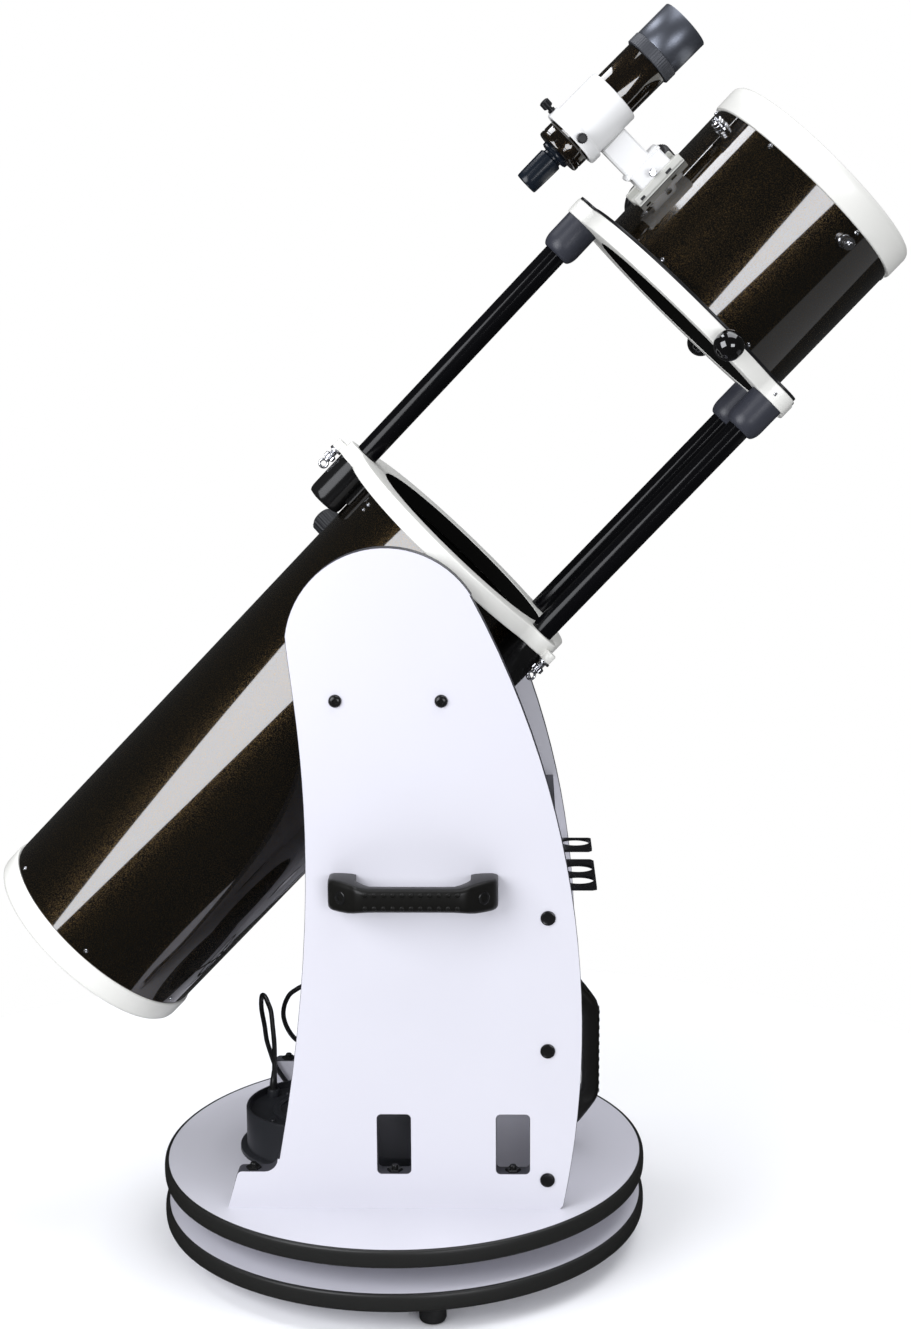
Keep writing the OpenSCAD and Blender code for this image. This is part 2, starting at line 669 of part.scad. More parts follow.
ground_board();
ground_edge_trim();
ground_feet();
bearing_base();
azimuth_worm_wheel();
bearing_rollers();
turntable_board();
turntable_edge_trim();
right_panel();
left_panel();
front_board();
panel_fasteners();
side_handles();
front_handle();
eyepiece_rack();
azimuth_drive_housing();
altitude_bearing();
altitude_drive_housing();
drive_motors();
drive_lead();
azimuth_worm();
altitude_worm();
lower_tube();
rear_ring();
rear_cell_plate();
mirror_cell();
primary_mirror();
flange_ring();
strut_guides();
trunnions();
altitude_worm_wheel();
tension_knob();
collimation_knob_1();
collimation_knob_2();
collimation_knob_3();
strut_lock_1();
strut_lock_2();
strut_lock_3();
strut_top();
strut_right();
strut_left();
strut_caps();
cage_ring();
cage_tube();
front_ring();
spider();
secondary_mirror();
ball_knobs();
finder_shoe();
finder_bracket();
finder_tube();
finder_eyepiece();
finder_objective();
finder_screw_top();
finder_screw_side();
focuser_base();
focuser_drawtube();
eyepiece_adapter();
focus_knobs();
focus_lock_screw();
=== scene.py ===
"""Looks of the telescope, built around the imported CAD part. Metres, in the row frame."""
import math

import bpy
from mathutils import Matrix, Vector


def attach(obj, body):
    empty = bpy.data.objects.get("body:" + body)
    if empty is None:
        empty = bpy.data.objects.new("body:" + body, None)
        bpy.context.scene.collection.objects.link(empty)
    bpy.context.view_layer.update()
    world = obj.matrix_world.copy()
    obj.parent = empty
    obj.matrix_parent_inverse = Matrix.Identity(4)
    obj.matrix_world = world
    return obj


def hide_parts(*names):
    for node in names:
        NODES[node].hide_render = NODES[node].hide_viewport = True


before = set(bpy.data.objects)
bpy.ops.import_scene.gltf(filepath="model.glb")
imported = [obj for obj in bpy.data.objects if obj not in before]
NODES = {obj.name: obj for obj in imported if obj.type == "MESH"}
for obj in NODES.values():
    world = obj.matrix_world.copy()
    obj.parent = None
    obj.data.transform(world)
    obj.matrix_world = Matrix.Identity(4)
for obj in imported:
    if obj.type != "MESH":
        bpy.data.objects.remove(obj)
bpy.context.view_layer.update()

# ------------------------------------------------------------------ sizes and places
# Sizes are in millimetres unless a comment says otherwise; place() and WORLD turn them into metres.
MM = 0.001
EAST, NORTH, TOP = Vector((1, 0, 0)), Vector((0, 1, 0)), Vector((0, 0, 1))

# Rocker box
BOARD_R, BOARD_T = 262.5, 18        # round boards: radius, and thickness of every board
GROUND_Z, DECK_Z = 25, 89           # underside of the lower round board, top of the upper one
FOOT_RING = 230                     # distance of the feet from the azimuth axis
PANEL_IN, PANEL_OUT = 146.5, 164.5  # faces of the side boards, from the middle
WINDOW_X = (-1.2, 119.8)            # middles of the two windows
FRONT_X = 164                       # outer face of the front board
DOT_Y = 6.572                       # the two rows of dots on a handle, from its middle
CAN_X = -103                        # middle of the azimuth drive can
LEAD_SOCKET = (-149, 37)            # where the lead leaves the can, in x and y
LEAD_R = 2.75

# Tube and cage. Lengths run along the tube to the sky, from the altitude axis.
TILT = math.radians(46.2)
ALONG = Vector((math.cos(TILT), 0, math.sin(TILT)))
UP = Vector((-math.sin(TILT), 0, math.cos(TILT)))
AXIS = Vector((-7.5, 0, 672))       # where the altitude axis crosses the tube's axis
TUBE_R, CAGE_R = 119, 118
FLANGE_L, CAGE_RING_L = (92, 109), (431, 448)
RING_R, EAR_R = 144, 21             # round part of both rings, and the ears that hold the struts
RING_EARS = (0, 143.4, -143.4)      # degrees from the top
STRUT_OUT, LOCK_OUT = 139, 165.5    # struts and their locks, from the tube's axis

# Finder and focuser
FINDER_L, FINDER_OUT = 540, 207.5
FINDER_ANGLE, FOCUSER_ANGLE = 12.5, -55     # degrees from the top
SCREW_L = 485                       # place of the finder's screws along it
FOCUSER_L = 506
AXLE_H = 154                        # focuser's axle, from the tube's axis


def place(origin, x, y, z):
    """Matrix from local millimetres to the row frame in metres."""
    m = Matrix.Identity(4)
    for i, v in enumerate((x, y, z)):
        for k in range(3):
            m[k][i] = v[k] * MM
    for k in range(3):
        m[k][3] = origin[k] * MM
    return m


def on_tube(l=0.0, a=0.0, r=0.0):
    """Local x runs along the tube to the sky, z away from its axis at angle a from up."""
    t = math.radians(a)
    z = UP * math.cos(t) - NORTH * math.sin(t)
    y = NORTH * math.cos(t) + UP * math.sin(t)
    return place(AXIS + ALONG * l + z * r, ALONG, y, z)


def shift(x, y, z):
    return Matrix.Translation((x, y, z))


def turn(deg, axis):
    return Matrix.Rotation(math.radians(deg), 4, axis)


def polar(r, deg):
    """Shift to a point on the round boards."""
    return shift(r * math.cos(math.radians(deg)), r * math.sin(math.radians(deg)), 0)


WORLD = Matrix.Scale(MM, 4)
LENGTHWISE = Matrix(((0, 0, 1, 0), (0, 1, 0, 0), (-1, 0, 0, 0), (0, 0, 0, 1)))


def along_x(m):
    """Turns a frame so that its local z runs along its old x."""
    return m @ LENGTHWISE


TUBE_LINE = along_x(on_tube())

# ------------------------------------------------------------------ materials

def material(name, color, rough=0.5, metal=0.0, coat=0.0, coat_rough=0.05, spec=0.5):
    m = bpy.data.materials.new(name)
    m.use_nodes = True
    b = m.node_tree.nodes["Principled BSDF"]
    b.inputs["Base Color"].default_value = (*color, 1)
    b.inputs["Roughness"].default_value = rough
    b.inputs["Metallic"].default_value = metal
    b.inputs["Coat Weight"].default_value = coat
    b.inputs["Coat Roughness"].default_value = coat_rough
    b.inputs["Specular IOR Level"].default_value = spec
    m.diffuse_color = (*color, 1)
    return m


def add(m, kind, **sockets):
    n = m.node_tree.nodes.new(kind)
    for k, v in sockets.items():
        n.inputs[k.replace("_", " ")].default_value = v
    return n


def coords(m, scale):
    tc = add(m, "ShaderNodeTexCoord")
    mp = add(m, "ShaderNodeMapping")
    mp.inputs["Scale"].default_value = scale if isinstance(scale, tuple) else (scale,) * 3
    m.node_tree.links.new(tc.outputs["Object"], mp.inputs["Vector"])
    return mp.outputs["Vector"]


def grain(m, scale, strength, distance=0.00012, rough_mix=0.0):
    """Fine surface texture: a bump, and a small change of roughness."""
    links = m.node_tree.links
    b = m.node_tree.nodes["Principled BSDF"]
    n = add(m, "ShaderNodeTexNoise", Scale=1.0, Detail=5.0, Roughness=0.6)
    links.new(coords(m, scale), n.inputs["Vector"])
    bump = add(m, "ShaderNodeBump", Strength=strength, Distance=distance)
    links.new(n.outputs["Fac"], bump.inputs["Height"])
    links.new(bump.outputs["Normal"], b.inputs["Normal"])
    if rough_mix:
        base = b.inputs["Roughness"].default_value
        r = add(m, "ShaderNodeMapRange", To_Min=max(0.02, base - rough_mix),
            To_Max=min(1.0, base + rough_mix))
        links.new(n.outputs["Fac"], r.inputs["Value"])
        links.new(r.outputs["Result"], b.inputs["Roughness"])
    return m


def tint(m, scale, first, second, low_edge=0.35, high_edge=0.65):
    """Slow, cloudy change between two colours."""
    links = m.node_tree.links
    b = m.node_tree.nodes["Principled BSDF"]
    n = add(m, "ShaderNodeTexNoise", Scale=1.0, Detail=3.0)
    links.new(coords(m, scale), n.inputs["Vector"])
    ramp = add(m, "ShaderNodeValToRGB")
    ramp.color_ramp.elements[0].position = low_edge
    ramp.color_ramp.elements[1].position = high_edge
    ramp.color_ramp.elements[0].color = (*first, 1)
    ramp.color_ramp.elements[1].color = (*second, 1)
    links.new(n.outputs["Fac"], ramp.inputs["Fac"])
    links.new(ramp.outputs["Color"], b.inputs["Base Color"])
    return m


LAMINATE = tint(grain(material("laminate", (0.60, 0.595, 0.63), 0.5), 900, 0.05), 3,
    (0.585, 0.58, 0.627), (0.605, 0.60, 0.648))
BAND = grain(material("edge_band", (0.05, 0.05, 0.06), 0.5), 500, 0.1)
TRIM = grain(material("edge_trim", (0.014, 0.014, 0.013), 0.4, spec=0.4), 300, 0.15, rough_mix=0.08)
RUBBER = grain(material("foot_rubber", (0.012, 0.012, 0.012), 0.6, spec=0.4), 400, 0.2)
GRIP = grain(material("grip_plastic", (0.006, 0.0058, 0.005), 0.36, spec=0.25), 700, 0.25, rough_mix=0.06)
BLACK = grain(material("satin_black", (0.009, 0.009, 0.010), 0.30, spec=0.25), 500, 0.05, rough_mix=0.05)
GUIDE = grain(material("guide_black", (0.007, 0.007, 0.007), 0.17, spec=0.25), 500, 0.03, rough_mix=0.03)
SCREW = grain(material("screw_black", (0.02, 0.02, 0.02), 0.22, metal=0.6, spec=0.5), 500, 0.05)
MATTE = grain(material("matte_black", (0.004, 0.004, 0.0035), 0.9, spec=0.05), 900, 0.2)
CAN = grain(material("drive_plastic", (0.018, 0.019, 0.022), 0.38, spec=0.3), 700, 0.15, rough_mix=0.06)
WHITE = grain(material("white_enamel", (0.735, 0.73, 0.685), 0.38, coat=0.3, coat_rough=0.2),
    350, 0.10, rough_mix=0.05)
BRACKET = grain(material("bracket_white", (0.74, 0.74, 0.73), 0.35, coat=0.3, coat_rough=0.2),
    350, 0.08)
SHOE = grain(material("shoe_grey", (0.54, 0.54, 0.50), 0.4), 350, 0.1)
STRUT = grain(material("strut_black", (0.0025, 0.0025, 0.003), 0.13, spec=0.22), 600, 0.01, rough_mix=0.02)
CAP = grain(material("cap_grey", (0.030, 0.032, 0.042), 0.38, spec=0.4), 700, 0.12, rough_mix=0.05)
BALL = material("ball_black", (0.003, 0.003, 0.003), 0.08, coat=1.0, coat_rough=0.02)
CHROME = grain(material("lock_chrome", (0.70, 0.71, 0.74), 0.2, metal=1.0), 500, 0.02)
STEEL = grain(material("steel", (0.42, 0.42, 0.43), 0.3, metal=1.0), (900, 60, 900), 0.1)
BRASS = grain(material("wheel_brass", (0.62, 0.42, 0.16), 0.28, metal=1.0), 400, 0.08)
ROLLER = grain(material("roller_plastic", (0.62, 0.58, 0.48), 0.4), 600, 0.1)
GREY = grain(material("finder_grey", (0.13, 0.14, 0.165), 0.36, metal=0.8), 1500, 0.01)
GREYRING = grain(material("finder_ring", (0.06, 0.063, 0.072), 0.45, metal=0.4), 900, 0.1)
KNOB = grain(material("knob_grey", (0.014, 0.015, 0.017), 0.45, spec=0.3), 600, 0.2)
CELL = grain(material("cell_metal", (0.03, 0.03, 0.033), 0.45), 400, 0.12)
GLASS = material("mirror_glass", (0.90, 0.91, 0.93), 0.015, metal=1.0)
LEAD = grain(material("lead_rubber", (0.006, 0.006, 0.006), 0.4, spec=0.4), 400, 0.1)
EYE = grain(material("eyepiece_black", (0.006, 0.009, 0.014), 0.22, spec=0.35), 900, 0.08)
LENS = material("lens", (0.01, 0.02, 0.03), 0.02, coat=1.0, coat_rough=0.01)


def flake_paint(name, base, fleck, scale):
    """Dark gloss paint with fine gold metal flakes under a clear coat."""
    gloss, flake_rough = 0.06, 0.31
    m = material(name, base, gloss, coat=1.0, coat_rough=0.02, spec=0.75)
    links = m.node_tree.links
    b = m.node_tree.nodes["Principled BSDF"]
    cells = add(m, "ShaderNodeTexVoronoi", Scale=1.0)
    links.new(coords(m, scale), cells.inputs["Vector"])
    sep = add(m, "ShaderNodeSeparateColor")
    links.new(cells.outputs["Color"], sep.inputs["Color"])
    # About one cell in seven is a flake
    pick = add(m, "ShaderNodeMapRange", From_Min=0.84, From_Max=0.87)
    links.new(sep.outputs["Red"], pick.inputs["Value"])
    cloud = add(m, "ShaderNodeTexNoise", Scale=1.0, Detail=2.0)
    links.new(coords(m, 12), cloud.inputs["Vector"])
    even = add(m, "ShaderNodeMapRange", To_Min=0.9)
    links.new(cloud.outputs["Fac"], even.inputs["Value"])
    amount = add(m, "ShaderNodeMath")
    amount.operation = "MULTIPLY"
    links.new(pick.outputs["Result"], amount.inputs[0])
    links.new(even.outputs["Result"], amount.inputs[1])
    mix = add(m, "ShaderNodeMix")
    mix.data_type = "RGBA"
    mix.inputs["A"].default_value = (*base, 1)
    mix.inputs["B"].default_value = (*fleck, 1)
    links.new(amount.outputs["Value"], mix.inputs["Factor"])
    links.new(mix.outputs["Result"], b.inputs["Base Color"])
    links.new(amount.outputs["Value"], b.inputs["Metallic"])
    rough = add(m, "ShaderNodeMapRange", To_Min=gloss, To_Max=flake_rough)
    links.new(amount.outputs["Value"], rough.inputs["Value"])
    links.new(rough.outputs["Result"], b.inputs["Roughness"])
    return m


PAINT = flake_paint("tube_paint", (0.0022, 0.0020, 0.0014), (0.125, 0.078, 0.028), 3200)
FINDER = flake_paint("finder_paint", (0.0035, 0.0028, 0.0022), (0.10, 0.062, 0.024), 4200)


SMOOTH_ANGLE = 35       # degrees; steeper edges stay sharp


def assign(node, mat):
    data = NODES[node].data
    data.materials.clear()
    data.materials.append(mat)
    for p in data.polygons:
        p.use_smooth = True
        p.material_index = 0
    if "custom_normal" not in data.attributes:
        data.set_sharp_from_angle(angle=math.radians(SMOOTH_ANGLE))


CAD_LOOK = {
    LAMINATE: ["ground_board", "turntable_board", "right_panel", "left_panel", "front_board"],
    TRIM: ["ground_edge_trim", "turntable_edge_trim"],
    RUBBER: ["ground_feet"],
    CAN: ["bearing_base", "azimuth_drive_housing", "altitude_bearing", "altitude_drive_housing"],
    BRASS: ["azimuth_worm_wheel", "altitude_worm_wheel"],
    ROLLER: ["bearing_rollers"],
    BLACK: ["panel_fasteners", "eyepiece_rack", "spider", "focuser_base",
        "eyepiece_adapter", "focus_knobs", "finder_screw_top", "finder_screw_side"],
    GRIP: ["side_handles", "front_handle"],
    STEEL: ["drive_motors", "azimuth_worm", "altitude_worm"],
    LEAD: ["drive_lead"],
    PAINT: ["lower_tube", "cage_tube"],
    WHITE: ["rear_ring", "flange_ring", "cage_ring", "front_ring", "trunnions"],
    CELL: ["rear_cell_plate", "mirror_cell"],
    GLASS: ["primary_mirror", "secondary_mirror"],
    KNOB: ["tension_knob", "collimation_knob_1", "collimation_knob_2", "collimation_knob_3"],
    CHROME: ["strut_lock_1", "strut_lock_2", "strut_lock_3", "focuser_drawtube", "focus_lock_screw"],
    STRUT: ["strut_top", "strut_right", "strut_left"],
    GUIDE: ["strut_guides"],
    CAP: ["strut_caps"],
    BALL: ["ball_knobs"],
    SHOE: ["finder_shoe"],
    BRACKET: ["finder_bracket"],
    FINDER: ["finder_tube"],
    EYE: ["finder_eyepiece"],
    GREY: ["finder_objective"],
}
for look, names in CAD_LOOK.items():
    for node in names:
        assign(node, look)

# ------------------------------------------------------------------ mesh helpers

def make(name, verts, faces, mat, body, m=WORLD, slot=None, angle=SMOOTH_ANGLE,
        replaces=()):
    """Adds one piece; m turns its local millimetres into metres of the row frame."""
    data = bpy.data.meshes.new(name)
    data.from_pydata([tuple(m @ Vector(v)) for v in verts], [], faces)
    data.materials.append(mat)
    data.validate()
    for p in data.polygons:
        p.use_smooth = True
    data.set_sharp_from_angle(angle=math.radians(angle))
    obj = bpy.data.objects.new(name, data)
    bpy.context.collection.objects.link(obj)
    if replaces:
        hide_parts(*replaces)
    if body:
        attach(obj, body)
    return obj


def join(parts):
    """Several (verts, faces) lists as one."""
    verts, faces = [], []
    for v, f in parts:
        k = len(verts)
        verts += list(v)
        faces += [tuple(i + k for i in q) for q in f]
    return verts, faces


def moved(part, m):
    return [tuple(m @ Vector(v)) for v in part[0]], part[1]


def lathe(profile, n, closed=True):
    """Turns a loop of (radius, height) about z. A point on the axis closes that end."""
    verts, faces, rows = [], [], []
    for r, h in profile:
        if r < 1e-6:
            rows.append([len(verts)])
            verts.append((0, 0, h))
        else:
            rows.append(list(range(len(verts), len(verts) + n)))
            verts += [(r * math.cos(2 * math.pi * i / n), r * math.sin(2 * math.pi * i / n), h)
                for i in range(n)]
    pairs = list(zip(rows, rows[1:]))
    if closed and len(rows[0]) > 1 and len(rows[-1]) > 1:
        pairs.append((rows[-1], rows[0]))
    for a, b in pairs:
        for i in range(n):
            k = (i + 1) % n
            if len(a) == 1 and len(b) == 1:
                continue
            if len(a) == 1:
                faces.append((a[0], b[k], b[i]))
            elif len(b) == 1:
                faces.append((a[i], a[k], b[0]))
            else:
                faces.append((a[i], a[k], b[k], b[i]))
    return verts, faces


def turned(profile, n):
    """The same for an open profile, such as a solid whose ends lie on the axis."""
    return lathe(profile, n, closed=False)


def ring_of(reach, inner, z0, z1, bevel, n=360, steps=3, inner_bevel=0.8):
    """A flat ring whose outer edge follows reach(angle), with rounded edges."""
    prof = []
    for s in range(steps + 1):
        t = math.pi / 2 * s / steps
        prof.append((-bevel + bevel * math.sin(t), z0 + bevel - bevel * math.cos(t)))
    for s in range(steps + 1):
        t = math.pi / 2 * s / steps
        prof.append((-bevel + bevel * math.cos(t), z1 - bevel + bevel * math.sin(t)))
    verts, faces = [], []
    rows = len(prof) + 4
    for i in range(n):
        a = 2 * math.pi * i / n
        c, s, r = math.cos(a), math.sin(a), reach(math.degrees(a))
        loop = [(inner, z0 + inner_bevel), (inner + inner_bevel, z0)]
        loop += [(r + d, z) for d, z in prof]
        loop += [(inner + inner_bevel, z1), (inner, z1 - inner_bevel)]
        verts += [(q * c, q * s, z) for q, z in loop]
    for i in range(n):
        k = (i + 1) % n
        for j in range(rows):
            e = (j + 1) % rows
            faces.append((i * rows + j, k * rows + j, k * rows + e, i * rows + e))
    return verts, faces


def block(x0, x1, y0, y1, z0, z1, b=0.8):
    """A box with chamfered edges."""
    verts = []
    for z, d in ((z0, b), (z0 + b, 0), (z1 - b, 0), (z1, b)):
        verts += [(x0 + d + b, y0 + d, z), (x1 - d - b, y0 + d, z), (x1 - d, y0 + d + b, z),
            (x1 - d, y1 - d - b, z), (x1 - d - b, y1 - d, z), (x0 + d + b, y1 - d, z),
            (x0 + d, y1 - d - b, z), (x0 + d, y0 + d + b, z)]
    faces = [tuple(range(7, -1, -1)), tuple(range(24, 32))]
    for r in range(3):
        for i in range(8):
            k = (i + 1) % 8
            faces.append((8 * r + i, 8 * r + k, 8 * r + 8 + k, 8 * r + 8 + i))
    return verts, faces


def sweep(path, radius, n=14):
    """A round cable along a path, with a steady twist-free frame."""
    pts = [Vector(p) for p in path]
    verts, faces = [], []
    t = (pts[1] - pts[0]).normalized()
    side = t.cross(Vector((0, 1, 0.1))).normalized()
    for i, p in enumerate(pts):
        t = (pts[min(i + 1, len(pts) - 1)] - pts[max(i - 1, 0)]).normalized()
        side = (side - t * side.dot(t)).normalized()
        other = t.cross(side)
        r = radius(i / (len(pts) - 1)) if callable(radius) else radius
        for k in range(n):
            a = 2 * math.pi * k / n
            verts.append(tuple(p + (side * math.cos(a) + other * math.sin(a)) * r))
    for i in range(len(pts) - 1):
        for k in range(n):
            e = (k + 1) % n
            faces.append((i * n + k, i * n + e, (i + 1) * n + e, (i + 1) * n + k))
    faces.append(tuple(range(n - 1, -1, -1)))
    faces.append(tuple(range(len(verts) - n, len(verts))))
    return verts, faces


def smooth_path(pts, per=6):
    """Catmull-Rom curve through the points."""
    p = [Vector(q) for q in pts]
    p = [p[0] * 2 - p[1]] + p + [p[-1] * 2 - p[-2]]
    out = []
    for i in range(1, len(p) - 2):
        for s in range(per):
            t = s / per
            out.append(0.5 * (2 * p[i] + (p[i + 1] - p[i - 1]) * t
                + (2 * p[i - 1] - 5 * p[i] + 4 * p[i + 1] - p[i + 2]) * t * t
                + (3 * p[i] - p[i - 1] - 3 * p[i + 1] + p[i + 2]) * t ** 3))
    return out + [p[-2]]


def torus(big, small, n=40, k=14):
    angles = [2 * math.pi * i / k for i in range(k)]
    return lathe([(big + small * math.cos(a), small * math.sin(a)) for a in angles], n)


def fluted(radius, h0, h1, teeth, depth, chamfer=1.0):
    """A grip cylinder with fine flutes around it."""
    n = teeth * 4
    verts, faces = [], []
    rows = [(h0, -chamfer - depth), (h0 + chamfer, 0), (h1 - chamfer, 0), (h1, -chamfer - depth)]
    for h, d in rows:
        for i in range(n):
            a = 2 * math.pi * i / n
            r = radius + d - (depth if i % 4 in (2, 3) and d == 0 else 0)
            verts.append((r * math.cos(a), r * math.sin(a), h))
    for r in range(3):
        for i in range(n):
            k = (i + 1) % n
            faces.append((r * n + i, r * n + k, (r + 1) * n + k, (r + 1) * n + i))
    faces.append(tuple(range(n - 1, -1, -1)))
    faces.append(tuple(range(3 * n, 4 * n)))
    return verts, faces


def dome(r, h, hex_r=0.0):
    """A round head on z = 0, with a socket of radius hex_r where that is given."""
    prof = [(0, h - 1.2), (hex_r, h - 1.2), (hex_r, h)] if hex_r else [(0, h)]
    prof += [(r * 0.72, h * 0.93), (r * 0.9, h * 0.62), (r, h * 0.2), (r, 0), (0, 0)]
    return turned(prof, 40)


# ------------------------------------------------------------------ base boards

def bullnose(r, z0, z1, lip=0.25, reach=4.6):
    """Soft edge moulding with a slightly raised lip at both faces of its board."""
    mid, half, seam = (z0 + z1) / 2, (z1 - z0) / 2, r - reach
    pts = [(seam - 0.4, z0 + 1.2), (seam, z0 - lip)]
    for i in range(13):
        t = -math.pi / 2 + math.pi * i / 12
        swell = abs(math.cos(t)) ** 0.42
        rise = math.copysign(abs(math.sin(t)) ** 0.8, math.sin(t))
        pts.append((seam + reach * swell, mid + (half + lip) * rise))
    pts += [(seam, z1 + lip), (seam - 0.4, z1 - 1.2)]
    return lathe(pts, 300)


make("ground_edge", *bullnose(BOARD_R, GROUND_Z, GROUND_Z + BOARD_T), TRIM, "ground",
    slot="edge_trim", replaces=["ground_edge_trim"], angle=50)
make("turning_edge", *bullnose(BOARD_R, DECK_Z - BOARD_T, DECK_Z), TRIM, "turntable",
    slot="edge_trim", replaces=["turntable_edge_trim"], angle=50)

foot = turned([(0, 0), (10.5, 0), (12.6, 0.9), (13.8, 3.5), (13.8, 16), (13.2, 19), (13.2, 25),
    (0, 25)], 56)
feet = [moved(foot, polar(FOOT_RING, a)) for a in (-80, 40, 160)]
make("feet", *join(feet), RUBBER, "ground", slot="foot_rubber", replaces=["ground_feet"], angle=50)

# ------------------------------------------------------------------ rocker box

def bezier(p0, p1, p2, p3, n):
    out = []
    for i in range(n + 1):
        t = i / n
        weights = ((1 - t) ** 3, 3 * (1 - t) ** 2 * t, 3 * (1 - t) * t * t, t ** 3)
        out.append(tuple(sum(w * p[k] for w, p in zip(weights, (p0, p1, p2, p3))) for k in (0, 1)))
    return out


def arc(cx, cz, r, a0, a1, n):
    angles = [math.radians(a0 + (a1 - a0) * i / n) for i in range(n + 1)]
    return [(cx + r * math.cos(a), cz + r * math.sin(a)) for a in angles]


def panel_outline():
    """Side board in x and z: front edge, round head, rear edge and the step of the rear foot."""
    front = [(168, 89)] + bezier((171, 93), (208, 278), (194, 506), (78, 722), 24)
    head = arc(-4, 669, 98.5, 32, 173, 28)
    rear = bezier((-101.5, 680), (-99, 625), (-58.5, 463), (-118, 142), 20)
    foot_step = arc(-134, 142.5, 14, 0, -90, 6) + [(-157, 128.5)] + arc(-157, 123.5, 5, 90, 160, 4)
    return front + head + rear + foot_step + [(-171.6, 90)]


def window(cx):
    """Upright opening with rounded corners, run round clockwise."""
    x0, x1, z0, z1, r = cx - 17.5, cx + 17.5, 126.5, 191, 5
    return (arc(x1 - r, z1 - r, r, 0, 90, 5) + arc(x0 + r, z1 - r, r, 90, 180, 5)
        + arc(x0 + r, z0 + r, r, 180, 270, 5) + arc(x1 - r, z0 + r, r, 270, 360, 5))[::-1]


def band(points, y0, y1, lift=0.45):
    """A thin strip standing on the edge of a board; points run round it in x and z."""
    n = len(points)
    verts, faces = [], []
    for i, (x, z) in enumerate(points):
        a, b = points[i - 1], points[(i + 1) % n]
        dx, dz = b[0] - a[0], b[1] - a[1]
        k = math.hypot(dx, dz) or 1
        nx, nz = dz / k * lift, -dx / k * lift
        verts += [(x + nx, y0, z + nz), (x + nx, y1, z + nz), (x - nx * 0.5, y0, z - nz * 0.5),
            (x - nx * 0.5, y1, z - nz * 0.5)]
    for i in range(n):
        k = (i + 1) % n
        for p, q in ((0, 1), (1, 3), (3, 2), (2, 0)):
            faces.append((4 * i + p, 4 * i + q, 4 * k + q, 4 * k + p))
    return verts, faces


for s, board_side in ((-1, "right"), (1, "left")):
    y0, y1 = sorted((s * (PANEL_IN + 0.2), s * (PANEL_OUT - 0.3)))
    strips = [band(panel_outline(), y0, y1)] + [band(window(cx), y0, y1) for cx in WINDOW_X]
    make(board_side + "_edge_bands", *join(strips), BAND, "turntable", slot="edge_trim", angle=60)
make("front_edge_band", *block(145.7, 164.3, -146.4, 146.4, 471.5, 473.5, 0.3), BAND, "turntable",
    slot="edge_trim")

# Domed bolt heads, flat caps down the front edge, and nuts on the rear foot and in the windows
bolt_head = turned([(0, 2.6), (2.3, 2.6), (2.6, 3.6), (4.4, 3.3), (5.8, 2.2), (6.5, 0.8), (6.5, 0),
    (0, 0)], 40)
flat_cap = turned([(0, 1.1), (4.6, 1.2), (6.4, 1.7), (7.2, 1.4), (7.6, 0.5), (7.6, 0), (0, 0)], 48)
hex_nut = turned([(0, 2.4), (7, 2.4), (8, 1.6), (8, 0), (0, 0)], 6)
stud = turned([(0, 6), (3, 6), (3.4, 5.4), (3.4, 2), (0, 2)], 24)
heads, caps, nuts = [], [], []
for s in (-1, 1):
    out = turn(90 * -s, "X")
    for x in (-54, 50):
        heads.append(moved(bolt_head, shift(x, s * PANEL_OUT, 617.5) @ out))
    for z in (397.5, 258.5, 120.5):
        caps.append(moved(flat_cap, shift(155, s * PANEL_OUT, z) @ out))
    for x, z in ((-146, 128.9), (WINDOW_X[0], 127), (WINDOW_X[1], 127)):
        spot = shift(x, s * (PANEL_IN + BOARD_T / 2), z)
        nuts += [moved(hex_nut, spot), moved(stud, spot)]
make("panel_screws", *join(heads + caps + nuts), SCREW, "turntable", slot="black_fastener",
    replaces=["panel_fasteners"])

# ------------------------------------------------------------------ handles

def grip_mesh():
    """Carry handle along x, on the face z = 0, with two rows of raised dots on its outer side."""
    # Each row: place along the handle, inner and outer distance from the board, half width.
    half = [(-84, 0, 19, 12.5), (-83.4, 0, 21.5, 14.2), (-81.5, 0, 24.5, 15.4), (-78, 0, 28, 16),
        (-70, 0, 34.2, 16), (-62, 0, 40.4, 15.4), (-57.1, 0, 44, 14.4), (-57, 15, 44.1, 14.4),
        (-53, 20, 46.6, 13.4), (-48, 25, 48.2, 12.6), (-42, 29.5, 48.7, 12.1), (-30, 30, 48.7, 12)]
    rows = half + [(-x, a, b, w) for x, a, b, w in reversed(half)]
    n, verts, faces = 24, [], []
    for x, a, b, w in rows:
        soft = min(6.5, (b - a) / 2.2)
        for k in range(n):
            t = 2 * math.pi * (k + 0.5) / n
            c, s = math.cos(t), math.sin(t)
            r = soft if a > 1 or s > 0 else 0.6
            verts.append((x, (w - r) * math.copysign(1, c) + r * c,
                (a + b) / 2 + ((b - a) / 2 - r) * math.copysign(1, s) + r * s))
    for i in range(len(rows) - 1):
        for k in range(n):
            e = (k + 1) % n
            faces.append((i * n + k, i * n + e, (i + 1) * n + e, (i + 1) * n + k))
    faces.append(tuple(range(n)))
    faces.append(tuple(range(len(verts) - 1, len(verts) - n - 1, -1)))
    dots = [moved(dome(2.5, 0.9), shift(-45 + 9 * i, y, 48.5))
        for i in range(11) for y in (-DOT_Y, DOT_Y)]
    return join([(verts, faces)] + dots)


